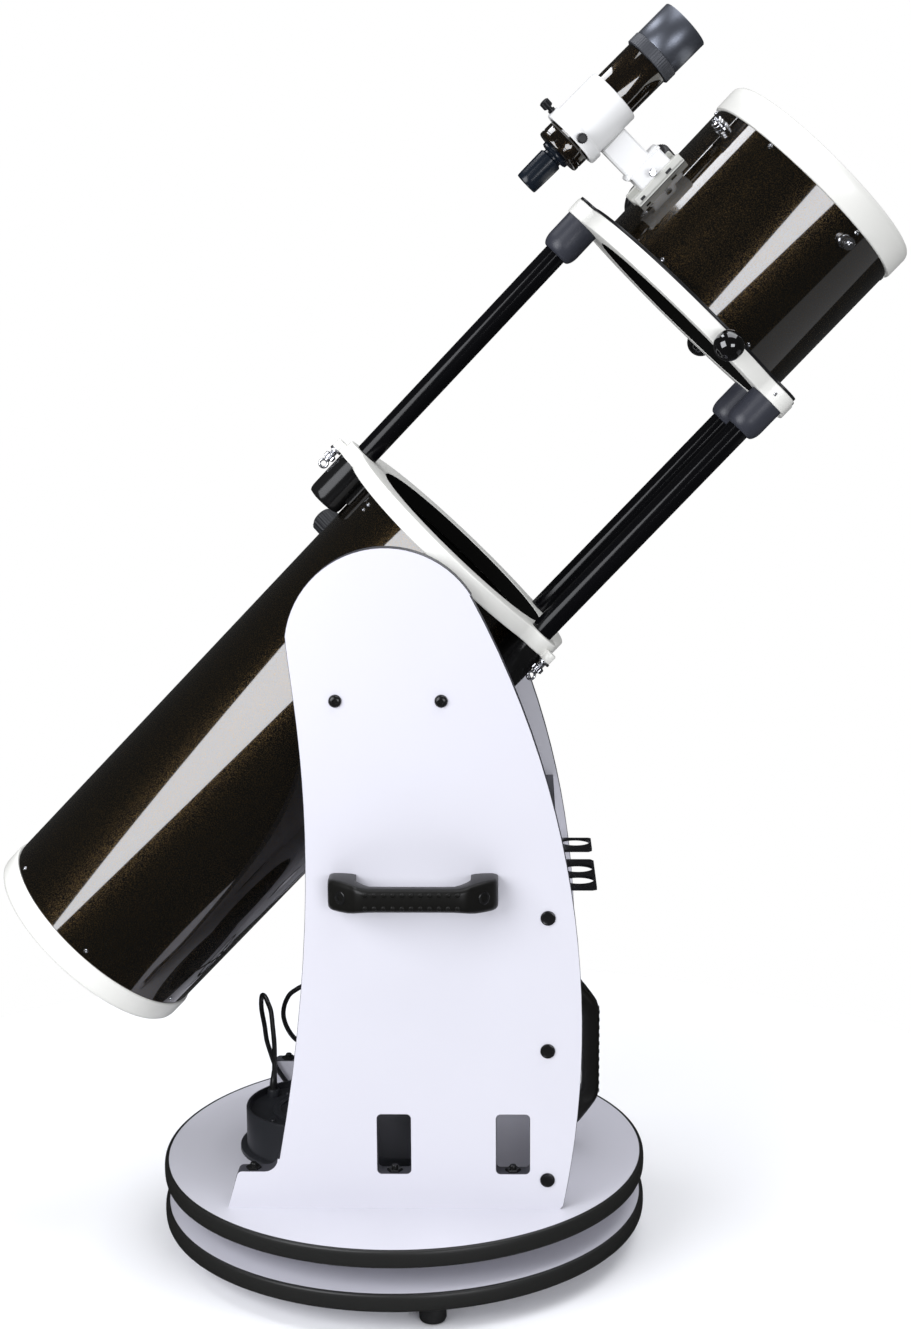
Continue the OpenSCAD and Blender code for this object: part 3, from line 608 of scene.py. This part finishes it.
def grip_screws():
    """Recessed screws on the two sloping ends of a handle."""
    screw = turned([(0, -2.2), (3.2, -2.2), (3.4, 0.1), (6.0, 0.5), (6.6, 0.2), (6.8, -1.6),
        (0, -1.6)], 36)
    return join([moved(screw, shift(s * 70.5, 0, 34.2) @ turn(s * 37.8, "Y")) for s in (-1, 1)])


HANDLES = {
    "right": place(Vector((21.5, -PANEL_OUT, 428)), EAST, TOP, -NORTH),
    "left": place(Vector((21.5, PANEL_OUT, 428)), EAST, -TOP, NORTH),
    "front": place(Vector((FRONT_X, 0, 199.5)), TOP, NORTH, EAST),
}
for name, m in HANDLES.items():
    node = "front_handle" if name == "front" else "side_handles"
    make(name + "_grip", *grip_mesh(), GRIP, "turntable", m, slot="grip_plastic", replaces=[node],
        angle=40)
    make(name + "_grip_screws", *grip_screws(), SCREW, "turntable", m, slot="black_fastener",
        replaces=[node])

# ------------------------------------------------------------------ eyepiece rack

def rack_plate(y0, y1, hole_y, n=40):
    """Part of the shelf from y0 to y1, with one round hole."""
    x0, x1, z0, z1 = FRONT_X, 206, 408, 411
    hole_x, hole_r = 188, 16.2
    verts, faces = [], []
    for i in range(n):
        a = 2 * math.pi * (i + 0.5) / n
        c, s = math.cos(a), math.sin(a)
        reach = min((x1 - hole_x if c > 0 else hole_x - x0) / max(abs(c), 1e-6),
            (y1 - hole_y if s > 0 else hole_y - y0) / max(abs(s), 1e-6))
        outer = (hole_x + reach * c, hole_y + reach * s)
        inner = (hole_x + hole_r * c, hole_y + hole_r * s)
        verts += [(*outer, z0), (*outer, z1), (*inner, z1), (*inner, z0)]
    for i in range(n):
        k = (i + 1) % n
        for p in range(4):
            q = (p + 1) % 4
            faces.append((4 * i + p, 4 * k + p, 4 * k + q, 4 * i + q))
    return verts, faces


# The gap between the second and third plates is the open notch, bridged along the board.
rack = [rack_plate(-102, -47.5, -70), rack_plate(-47.5, 10, -25), rack_plate(50, 102, 84),
    block(FRONT_X, 170, 9, 51, 408, 411, 0.3), block(FRONT_X, 167, -102, 102, 390, 411, 0.6)]
make("rack", *join(rack), BLACK, "turntable", slot="rack_metal", replaces=["eyepiece_rack"], angle=30)
rack_screws = [moved(dome(4, 2.2, 1.6), shift(167, y, 399) @ turn(90, "Y")) for y in (-85, 0, 85)]
make("rack_screws", *join(rack_screws), BLACK, "turntable", slot="black_fastener")

# ------------------------------------------------------------------ azimuth drive and its lead

# Can with a rolled rim and a recessed lid, the low cover beside it, and the lead's socket
can_top = DECK_Z + 41
azimuth_drive = [
    moved(turned([(0, 41), (64, 41), (66.5, 42), (67.3, 46), (67.6, 48.6), (69.2, 49), (70.4, 48.3),
        (71, 46.5), (71, 7), (71.6, 5.6), (76.6, 5), (78, 4), (78, 0), (0, 0)], 160),
        shift(CAN_X, 0, DECK_Z)),
    moved(turned([(0, 18), (78, 18), (80.8, 17.2), (82, 15), (82, 0), (0, 0)], 160),
        shift(0, 0, DECK_Z)),
]
for a in (0.6, 2.2, 3.9, 5.4):
    azimuth_drive.append(moved(dome(3.2, 2.2, 1.2),
        shift(CAN_X + 52 * math.cos(a), 52 * math.sin(a), can_top)))
azimuth_drive += [
    moved(lathe([(34, 0), (34, 1.6), (36, 2.4), (40, 2.4), (42, 1.6), (42, 0)], 90),
        shift(CAN_X, 0, can_top)),
    moved(block(-20, 20, -14, 14, 0, 3, 1), shift(CAN_X + 5, -18, can_top)),
    moved(turned([(0, 8.6), (5, 8.6), (6.4, 8.2), (7, 7), (7, 0), (0, 0)], 40),
        shift(*LEAD_SOCKET, 129.6)),
]
make("azimuth_can", *join(azimuth_drive), CAN, "turntable", slot="drive_plastic",
    replaces=["azimuth_drive_housing"], angle=40)

LEAD_PATH = [(-149, 37, 137), (-149, 38, 147), (-149, 45, 156), (-150, 56, 162), (-152, 73, 176),
    (-156, 93, 190), (-160, 111, 202), (-165, 121, 210), (-169, 129, 214), (-173, 136, 213),
    (-175, 141, 205), (-175, 143, 192), (-172, 143, 173), (-170, 143, 156), (-166, 142, 142),
    (-161, 141, 127), (-154, 140, 115), (-145, 140, 103), (-132, 140, 96), (-116, 139, 94),
    (-100, 138, 97), (-88, 137, 106), (-84, 135, 121), (-90, 133, 137), (-104, 132, 148),
    (-120, 131, 154), (-134, 131, 161), (-143, 131, 173), (-148, 131, 188), (-147, 131, 202),
    (-141, 131, 215), (-132, 132, 222), (-120, 133, 229), (-104, 134, 242), (-84, 136, 268),
    (-64, 137, 320), (-46, 137, 400), (-36, 136, 480), (-34, 135, 540), (-34, 135, 569)]
LEAD_LINE = smooth_path(LEAD_PATH)
lead = make("lead", *sweep(LEAD_LINE, LEAD_R), LEAD, "turntable", slot="lead_rubber",
    replaces=["drive_lead"], angle=60)
boot = sweep(smooth_path(LEAD_PATH[:3], 8), lambda t: 4.8 - 1.9 * t)
collar = moved(turned([(0, 16), (3, 16), (4.2, 12), (4.2, 0), (0, 0)], 30), shift(-34, 135, 553))
lead_ends = make("lead_ends", *join([boot, collar]), LEAD, "turntable", slot="lead_rubber", angle=60)

# ------------------------------------------------------------------ lower tube

def ring_reach(deg):
    """Outer edge of the flange and of the cage ring, seen along the tube."""
    # Angle to the nearest ear; deg is counted from the bottom
    off = min(abs((deg - 180 - e + 900) % 360 - 180) for e in RING_EARS)
    t = math.radians(off)
    s = STRUT_OUT * math.sin(t)
    near_ear = abs(s) < EAR_R and off < 90
    ear = STRUT_OUT * math.cos(t) + math.sqrt(EAR_R ** 2 - s * s) if near_ear else 0
    # Straight flank between ear and ring: the line 50 x + 34 y = 8008, with x towards the ear
    t = math.radians(max(off, 5))
    shoulder = 8008 / (50 * math.cos(t) + 34 * math.sin(t)) if off < 25 else 0
    return max(RING_R, ear, shoulder)


# Flange with a lug and a nut seat beside each ear, for the strut locks
lugs = []
seat = lathe([(3.1, 92), (5.2, 92), (5.6, 92.6), (5.6, 101), (5, 102), (3.1, 102)], 30)
for a in RING_EARS:
    lugs.append(moved(seat, along_x(turn(a, "X") @ shift(0, 0, LOCK_OUT))))
    lugs.append(moved(block(92, 101.6, -4.6, 4.6, 154, LOCK_OUT, 0.6), turn(a, "X")))
flange = moved(ring_of(ring_reach, 111, *FLANGE_L, 1.6), LENGTHWISE)
make("flange", *join([flange] + lugs), WHITE, "tube", on_tube(), slot="white_casting",
    replaces=["flange_ring"], angle=40)
make("rear_band", *lathe([(111, -481), (116.5, -481), (119, -480.2), (120.6, -478.2),
    (121.2, -475.5), (121.3, -458.5), (120.8, -457), (120, -456), (119.05, -456), (119.05, -475),
    (111, -475)], 180), WHITE, "tube", TUBE_LINE, slot="white_casting", replaces=["rear_ring"],
    angle=40)
make("tube_liner", *turned([(117.35, -455), (117.35, 92.1), (110.8, 92.2), (110.8, 108.6)], 120),
    MATTE, "tube", TUBE_LINE, slot="cell_metal")

guides = []
sleeve = lathe([(12.1, 43), (14.5, 42), (17.8, 43), (19, 45.4), (19.5, 49), (19.5, 91.9),
    (12.1, 91.9)], 64)
for a in RING_EARS:
    guides.append(moved(sleeve, along_x(turn(a, "X") @ shift(0, 0, STRUT_OUT))))
    guides.append(moved(block(58, 91.8, -9, 9, 117.4, 126, 1), turn(a, "X")))
make("guides", *join(guides), GUIDE, "tube", on_tube(), slot="guide_plastic",
    replaces=["strut_guides"], angle=40)


def eye_bolt():
    """Chrome eye screw: threaded rod, washer, knurled nut and a loop; x runs to the sky."""
    rod = turned([(0, 76), (3, 76), (3, 101.8), (0, 101.8)], 24)
    washer = lathe([(3, 89.2), (6.4, 89.2), (6.6, 90), (6.4, 91.6), (3, 91.6)], 30)
    nut = fluted(6.1, 78.2, 84.2, 14, 0.7, 0.8)
    threads = [moved(torus(3.1, 0.55, 24, 8), shift(0, 0, 85.2 + 1.3 * i)) for i in range(3)]
    loop = moved(torus(4.2, 1.35), shift(71.6, 0, 0) @ turn(90, "X"))
    return join([moved(join([rod, washer, nut] + threads), LENGTHWISE), loop])


for i, a in enumerate(RING_EARS):
    make(f"eye_bolt_{i + 1}", *eye_bolt(), CHROME, f"lock_{i + 1}", on_tube(0, a, LOCK_OUT),
        slot="lock_chrome", replaces=[f"strut_lock_{i + 1}"])

tension = [fluted(15, 120.6, 143, 20, 0.8, 2.4),
    turned([(0, 144.2), (9, 144.2), (12, 143.2), (12, 142), (0, 142)], 48),
    turned([(0, 121), (3, 121), (3, 110), (0, 110)], 24)]
make("tension_grip", *join(tension), KNOB, "tension_knob_body", on_tube(21, -26), slot="knob_grey",
    replaces=["tension_knob"])

collimation = join([fluted(9, -477.6, -466.4, 16, 0.7, 1),
    turned([(0, -466.6), (2.5, -466.6), (2.5, -443), (0, -443)], 24)])
for i in range(3):
    make(f"collimation_grip_{i + 1}", *collimation, KNOB, f"collimation_{i + 1}",
        along_x(on_tube(0, 60 + 120 * i, 70)), slot="cell_knob",
        replaces=[f"collimation_knob_{i + 1}"])


def tube_screws(l, angles, r, size):
    """Round heads on a tube's wall, at length l and the given angles from the top."""
    head = dome(size, size * 0.55, size * 0.35)
    return [moved(head, turn(a, "X") @ shift(l, 0, r)) for a in angles]


screws = tube_screws(-449, range(30, 390, 60), TUBE_R, 2.3)
screws += tube_screws(79, range(30, 390, 60), TUBE_R, 2.3)
screws += tube_screws(72, (30, 330), TUBE_R, 2.0)
make("tube_screws", *join(screws), CHROME, "tube", on_tube(), slot="lock_chrome")

# ------------------------------------------------------------------ cage

cage_flange = moved(ring_of(ring_reach, 112, *CAGE_RING_L, 1.6), LENGTHWISE)
make("cage_flange", *cage_flange, WHITE, "cage", on_tube(), slot="white_casting",
    replaces=["cage_ring"], angle=40)
gasket = moved(ring_of(lambda d: ring_reach(d) - 1.2, 118.3, 448.05, 451, 0.5), LENGTHWISE)
make("cage_gasket", *gasket, BLACK, "cage", on_tube(), slot="guide_plastic", angle=40)
make("front_band", *lathe([(112, 606.6), (113, 606), (119.4, 606), (120.8, 606.6), (121.3, 608),
    (121.3, 629), (120.9, 631.4), (119.8, 633.8), (117.8, 635.8), (115.4, 636.8), (113.0, 637),
    (112, 636)], 180), WHITE, "cage", TUBE_LINE, slot="white_casting", replaces=["front_ring"],
    angle=40)
make("cage_liner", *turned([(111.8, 431.4), (111.8, 448.5), (116.35, 448.6), (116.35, 606.2)], 120),
    MATTE, "cage", TUBE_LINE, slot="cell_metal")

# Strut caps: a mouth that swells in a quarter round, then a straight sleeve
swell = [(12.9 + 6.1 * math.sin(t), 391 + 13 * (1 - math.cos(t)))
    for t in (math.pi / 2 * i / 10 for i in range(11))]
bell = lathe([(12.1, 391)] + swell + [(19, 430.9), (12.1, 430.9)], 64)
bells = [moved(bell, along_x(turn(a, "X") @ shift(0, 0, STRUT_OUT))) for a in RING_EARS]
make("bells", *join(bells), CAP, "cage", on_tube(), slot="cap_grey", replaces=["strut_caps"], angle=45)

# Ball knobs on short necks at both sides of the cage ring
ball = [(0, 143.9), (5, 143.9), (5.4, 145.2)]
for i in range(4, 24):
    t = math.pi * i / 24
    ball.append((15 * math.sin(t), 160 - 15 * math.cos(t)))
ball.append((0, 175))
balls = [moved(turned(ball, 64), turn(a, "X") @ shift(438.5, 0, 0)) for a in (105, -105)]
make("balls", *join(balls), BALL, "cage", on_tube(), slot="ball_black", replaces=["ball_knobs"], angle=50)

# Spider: vanes and hub in black, and outside the wall a washer, a waisted thumb nut and a stud
vanes, nuts = [], []
thumb_nut = [turned([(0, 120.6), (6.6, 120.6), (7.2, 119.6), (7.2, 117.7), (0, 117.7)], 40),
    turned([(0, 129.6), (5.3, 129.6), (6.3, 128.8), (6.3, 126.4), (5.8, 126), (5.8, 125.4),
        (6.3, 125), (6.3, 122), (5.3, 121.2), (0, 121.2)], 48),
    turned([(0, 132.4), (2.2, 132.4), (2.6, 131.8), (2.6, 129), (0, 129)], 24)]
for a in (28, 118, 208, 298):
    vanes.append(moved(block(580, 598, -0.5, 0.5, 17, 116.4, 0.1), turn(a, "X")))
    nuts.append(moved(join(thumb_nut), turn(a, "X") @ shift(589, 0, 0)))
hub = moved(turned([(0, 600), (16.8, 600), (18, 598.6), (18, 578.2), (16.8, 577), (0, 577)], 64),
    LENGTHWISE)
make("vanes", *join(vanes + [hub]), BLACK, "cage", on_tube(), slot="spider_black", replaces=["spider"])
make("vane_nuts", *join(nuts), CHROME, "cage", on_tube(), slot="lock_chrome", replaces=["spider"])
centre = [moved(dome(3.2, 3, 1.5), along_x(shift(600, 0, 0)))]
for a in (0, 120, 240):
    spot = shift(600, 11 * math.cos(math.radians(a)), 11 * math.sin(math.radians(a)))
    centre.append(moved(dome(2.4, 2.6, 1.1), along_x(spot)))
make("centre_screws", *join(centre), CHROME, "cage", on_tube(), slot="lock_chrome")

screws = tube_screws(603, range(0, 360, 60), CAGE_R, 2.6)
screws += tube_screws(455, (60, 120, 240, 300), CAGE_R, 2.4)
make("cage_screws", *join(screws), CHROME, "cage", on_tube(), slot="lock_chrome")
ring_pins = [moved(dome(2.2, 1.4, 0.8), turn(a, "X") @ shift(439.5, 0, ring_reach(180 + a) - 0.1))
    for a in (137, 223)]
make("ring_pins", *join(ring_pins), CHROME, "cage", on_tube(), slot="lock_chrome")

# ------------------------------------------------------------------ finder

# The finder's own axis, tipped 2 degrees to the tube's, and the shoe's frame on the cage
FINDER_FRAME = (on_tube(FINDER_L, FINDER_ANGLE, FINDER_OUT) @ turn(2, "Y")
    @ shift(-FINDER_L, 0, 0))
FINDER_LINE = along_x(FINDER_FRAME)
SHOE_FRAME = on_tube(0, FINDER_ANGLE)
PIN_SPOT = turn(225, "X") @ shift(SCREW_L, 0, 0)

holder = moved(lathe([(26.45, 480.4), (27.2, 479), (31, 479), (31.8, 479.8), (32, 481), (32, 489.6),
    (31.4, 490.8), (30, 491.6), (29.4, 493), (29.4, 538), (28.8, 539.4), (27.6, 540), (26.45, 540)],
    96), LENGTHWISE)
stem = join([block(493, 524, -8.5, 8.5, 140, 180.5, 2), block(494, 534, -17, 17, 120.1, 142, 1.6),
    block(490, 536, -11, 11, 139, 144.5, 1.6)])
bracket = [holder, moved(stem, FINDER_FRAME.inverted() @ SHOE_FRAME)]
make("bracket", *join(bracket), BRACKET, "cage", FINDER_FRAME, slot="bracket_white",
    replaces=["finder_bracket"], angle=40)
spring_pin = [turned([(0, 42), (4, 42), (4.6, 41), (4.8, 38), (4.8, 29), (0, 29)], 30),
    turned([(0, 46), (2, 46), (2.6, 45), (2.6, 41), (0, 41)], 24)]
make("spring_pin", *moved(join(spring_pin), PIN_SPOT), CHROME, "cage", FINDER_FRAME,
    slot="lock_chrome")
bracket_lock = [turned([(0, 27.6), (3.2, 27.6), (4, 26.8), (4, 23), (3, 22.6), (0, 22.6)], 30),
    turned([(0, 23), (2.2, 23), (2.2, 16.9), (0, 16.9)], 24)]
make("bracket_lock", *join(bracket_lock), CHROME, "cage",
    on_tube(512, FINDER_ANGLE, 132) @ turn(90, "X"), slot="lock_chrome")

shoe = [block(481, 543, -22, 22, 116, 119.9, 0.6), block(481, 543, -22, -17.6, 117, 126, 0.8),
    block(481, 543, 17.6, 22, 117, 126, 0.8)]
make("shoe", *join(shoe), SHOE, "cage", SHOE_FRAME, slot="shoe_grey", replaces=["finder_shoe"])
slots = [block(l0, l1, -22.35, -21.9, 119.6, 122.4, 0.1) for l0, l1 in ((486, 491.5), (521, 528))]
make("shoe_slots", *join(slots), BLACK, "cage", SHOE_FRAME, slot="black_fastener")

# Tube, its rubber ring and its rear cap
finder_body = [
    lathe([(22, 477), (24.2, 477), (24.8, 478), (24.8, 583), (24.4, 583.7), (22.8, 583.7),
        (22.8, 592), (21, 592), (21, 583), (22, 582)], 96),
    lathe([(24.8, 534), (26.1, 534.2), (26.4, 535), (26.4, 538.6), (26.1, 539.4), (24.8, 539.6)], 80),
    lathe([(13.3, 461.8), (14, 461), (23.2, 461), (24.5, 461.8), (24.9, 463), (24.9, 466),
        (24.3, 466.6), (24.3, 467.6), (24.9, 468.2), (24.9, 477), (24.4, 478), (13.3, 478)], 96),
]
make("finder_body", *join(finder_body), FINDER, "cage", FINDER_LINE, slot="finder_paint",
    replaces=["finder_tube"], angle=40)
eye = turned([(0, 477.4), (13.3, 477.4), (13.3, 461.4), (15, 461.2), (15.8, 460), (15.6, 457),
    (13.6, 456), (10.2, 455.4), (10.4, 453.6), (12.7, 452), (12.7, 447), (12.2, 424), (12, 419.4),
    (11.4, 418.2), (9.4, 418.8), (8.4, 421), (0, 421)], 72)
make("finder_eye", *eye, EYE, "cage", FINDER_LINE, slot="eyepiece_black",
    replaces=["finder_eyepiece"], angle=40)
make("finder_eye_lens", *turned([(0, 423), (8.2, 423), (8.2, 421.2), (4, 421.9), (0, 422.4)], 48),
    LENS, "cage", FINDER_LINE, slot="eyepiece_black")

# Objective cell: dew shield with its lining, ribbed focusing ring and lens
shield = lathe([(24.4, 596), (24.4, 635), (25, 636), (26.1, 636), (26.6, 635.4), (26.6, 598),
    (26.2, 597.2), (26, 596)], 112)
make("dew_shield", *shield, GREY, "finder_focus_cell", FINDER_LINE, slot="finder_grey",
    replaces=["finder_objective"], angle=40)
focus_ring = [fluted(27.3, 584.2, 597, 60, 0.25, 0.7),
    lathe([(22.9, 584.4), (24, 584.1), (24.3, 597), (22.9, 597)], 60)]
make("focus_ring", *join(focus_ring), GREYRING, "finder_focus_cell", FINDER_LINE,
    slot="finder_grey", replaces=["finder_objective"])
objective = turned([(0, 593.4), (24.2, 593.4), (24.2, 597.2), (16, 599.6), (8, 601), (0, 601.5)], 72)
make("finder_lens", *objective, LENS, "finder_focus_cell", FINDER_LINE, slot="finder_grey")
make("shield_lining", *turned([(24.3, 598), (24.3, 635.4)], 72), MATTE, "finder_focus_cell",
    FINDER_LINE, slot="finder_grey")

adjuster = join([fluted(5.2, 37, 45.5, 16, 0.5, 1.0),
    turned([(0, 25.2), (2, 25.2), (2.5, 26), (2.5, 37.6), (0, 37.6)], 24),
    lathe([(3.4, 32.3), (3.8, 32.3), (3.8, 34.6), (2.6, 34.6), (2.6, 32.3)], 24)])
for name, a in (("top", 0), ("side", 90)):
    make("adjuster_" + name, *adjuster, BLACK, "finder_adjuster_" + name,
        FINDER_FRAME @ turn(a, "X") @ shift(SCREW_L, 0, 0), slot="screw_black",
        replaces=["finder_screw_" + name])

# ------------------------------------------------------------------ focuser

FOCUSER = on_tube(FOCUSER_L, FOCUSER_ANGLE)
saddle = [block(-36, 36, -36, 36, 113, 124, 2),
    lathe([(27.1, 166), (32.6, 166), (34, 164.6), (34, 124), (27.1, 124)], 96),
    block(-9, 38.5, -29.5, 29.5, 131, 163.6, 2)]
make("focuser_saddle", *join(saddle), BLACK, "cage", FOCUSER, slot="focuser_black",
    replaces=["focuser_base"])
saddle_screws = [moved(dome(3.2, 2.4, 1.4), shift(x, y, 124)) for x in (-30, 30) for y in (-30, 30)]
make("saddle_screws", *join(saddle_screws), CHROME, "cage", FOCUSER, slot="lock_chrome")

drawtube = lathe([(25.4, 112), (27, 112), (27, 177.6), (26.6, 178), (25.4, 178)], 96)
make("drawtube_tube", *drawtube, CHROME, "drawtube", FOCUSER, slot="drawtube_chrome",
    replaces=["focuser_drawtube"])
adapter = lathe([(15.9, 160), (25.1, 160), (25.1, 177.9), (28.4, 178.2), (29, 179), (29, 185),
    (28.2, 186), (20.6, 186), (20, 187), (20, 191.2), (19.2, 192), (16.7, 192), (15.9, 191.2)], 96)
make("adapter", *adapter, BLACK, "drawtube", FOCUSER, slot="focuser_black",
    replaces=["eyepiece_adapter"])
adapter_screw = join([fluted(4, 33, 39, 12, 0.4, 0.6),
    turned([(0, 28.5), (1.6, 28.5), (1.6, 34), (0, 34)], 20)])
make("adapter_screw", *moved(adapter_screw, shift(0, 0, 182) @ turn(-90, "Y")), CHROME, "drawtube",
    FOCUSER, slot="lock_chrome")

wheel = join([fluted(19, 39, 56, 36, 0.7, 1.4),
    turned([(0, 58), (9, 58), (15, 57.4), (16.5, 56.2), (16.5, 55), (0, 55)], 56),
    turned([(0, 39.6), (10, 39.6), (10, 36), (0, 36)], 36)])
axle = turned([(0, -58), (3, -58), (3, 58), (0, 58)], 32)
make("focus_wheels", *join([axle, moved(wheel, turn(180, "X")), wheel]), BLACK, "focus_shaft",
    FOCUSER @ shift(31.5, 0, AXLE_H) @ turn(-90, "X"), slot="focuser_black",
    replaces=["focus_knobs"])
brake = join([fluted(6, 0, 9, 14, 0.5, 0.8), turned([(0, 8), (2, 8), (2, 18.4), (0, 18.4)], 20)])
make("focus_brake", *brake, CHROME, "focus_lock", FOCUSER @ shift(-46, 0, AXLE_H) @ turn(90, "Y"),
    slot="lock_chrome", replaces=["focus_lock_screw"])

# ------------------------------------------------------------------ studio
# Places and sizes from here on are in metres.

LENS_MM, SENSOR_MM = 54.17, 36
CAMERA_AT = (0.13061, -2.08428, 0.97999)
CAMERA_SHIFT = (-0.0308, 0.0100)
YAW, PITCH, ROLL = -0.0138, -0.1749, -0.0023        # radians
FLOOR_R, FLOOR_Z = 0.9, -0.0006
LAMP_TINT, FILL_TINT = (0.94, 0.955, 1.0), (0.95, 0.96, 1.0)


def add_camera():
    data = bpy.data.cameras.new("camera")
    data.lens = LENS_MM
    data.sensor_width = SENSOR_MM
    data.shift_x, data.shift_y = CAMERA_SHIFT
    data.clip_end = 50
    cam = bpy.data.objects.new("camera", data)
    bpy.context.collection.objects.link(cam)
    cam.location = CAMERA_AT
    across = math.cos(PITCH)
    look = Vector((math.sin(YAW) * across, math.cos(YAW) * across, math.sin(PITCH)))
    level = look.to_track_quat("-Z", "Y")
    cam.rotation_mode = "QUATERNION"
    cam.rotation_quaternion = level @ Matrix.Rotation(ROLL, 3, "Z").to_quaternion()
    bpy.context.scene.camera = cam


def add_floor(n=96):
    """A round white table under the feet, which mirrors do not show."""
    verts, faces = [(0, 0, FLOOR_Z)], []
    for i in range(n):
        t = 2 * math.pi * i / n
        verts.append((FLOOR_R * math.cos(t), FLOOR_R * math.sin(t), FLOOR_Z))
        faces.append((0, i + 1, (i + 1) % n + 1))
    data = bpy.data.meshes.new("floor")
    data.from_pydata(verts, [], faces)
    data.materials.append(material("floor", (0.9, 0.9, 0.9), 0.9, spec=0.2))
    floor = bpy.data.objects.new("floor", data)
    bpy.context.collection.objects.link(floor)
    floor.visible_glossy = False


def softbox(name, where, right, up, size, radiance):
    """A rectangular lamp of even brightness. It shines away from right x up."""
    data = bpy.data.lights.new(name, "AREA")
    data.shape = "RECTANGLE"
    data.size, data.size_y = size
    data.energy = radiance * math.pi * size[0] * size[1]
    data.color = LAMP_TINT
    obj = bpy.data.objects.new(name, data)
    bpy.context.collection.objects.link(obj)
    x = Vector(right).normalized()
    z = x.cross(Vector(up)).normalized()
    obj.matrix_world = Matrix.Translation(where) @ Matrix((x, z.cross(x), z)).transposed().to_4x4()
    return obj


def rolled(heading, roll):
    """Edges of an upright lamp that faces the heading, turned by roll about that line."""
    a, b = math.radians(heading), math.radians(roll)
    side = Vector((math.cos(a), -math.sin(a), 0))
    return side * math.cos(b) + TOP * math.sin(b), TOP * math.cos(b) - side * math.sin(b)


def add_world():
    """Even fill light, dark in mirrors so that only the lamps shine there, and a white backdrop."""
    world = bpy.data.worlds.new("studio")
    bpy.context.scene.world = world
    world.use_nodes = True
    tree = world.node_tree
    ray = tree.nodes.new("ShaderNodeLightPath")
    fill = tree.nodes.new("ShaderNodeBackground")
    fill.name = "fill"
    fill.inputs["Color"].default_value = (*FILL_TINT, 1)
    fill.inputs["Strength"].default_value = 0.58
    shade = fill
    for glow, strength, case in (("dark_room", 0.03, "Is Glossy Ray"), ("backdrop", 1.0, "Is Camera Ray")):
        lit = tree.nodes.new("ShaderNodeBackground")
        lit.name = glow
        lit.inputs["Color"].default_value = (1, 1, 1, 1)
        lit.inputs["Strength"].default_value = strength
        either = tree.nodes.new("ShaderNodeMixShader")
        tree.links.new(ray.outputs[case], either.inputs["Fac"])
        tree.links.new(shade.outputs[0], either.inputs[1])
        tree.links.new(lit.outputs[0], either.inputs[2])
        shade = either
    tree.links.new(shade.outputs[0], tree.nodes["World Output"].inputs["Surface"])
    bpy.context.scene.view_settings.view_transform = "Standard"


add_camera()
add_floor()
softbox("left_front", (-0.934, -1.174, 1.222), *rolled(40, 24), (1.1, 1.2), 6.4)
softbox("right_front", (1.55, -3.0, 0.98), *rolled(0, 0), (1.6, 1.05), 6.8)
softbox("high_left", (-1.36, 0.45, 3.4), EAST, NORTH, (0.72, 1.7), 7.3)
softbox("overhead", (1.2, 0.0, 3.4), EAST, NORTH, (2.6, 2.8), 3.1)
# Only reflections show this one: the dim stripe low on the cage
table_glow = softbox("table_glow", (2.0, 0.02, 0.003), EAST, -NORTH, (1.4, 1.2), 0.24)
table_glow.visible_diffuse = False
add_world()
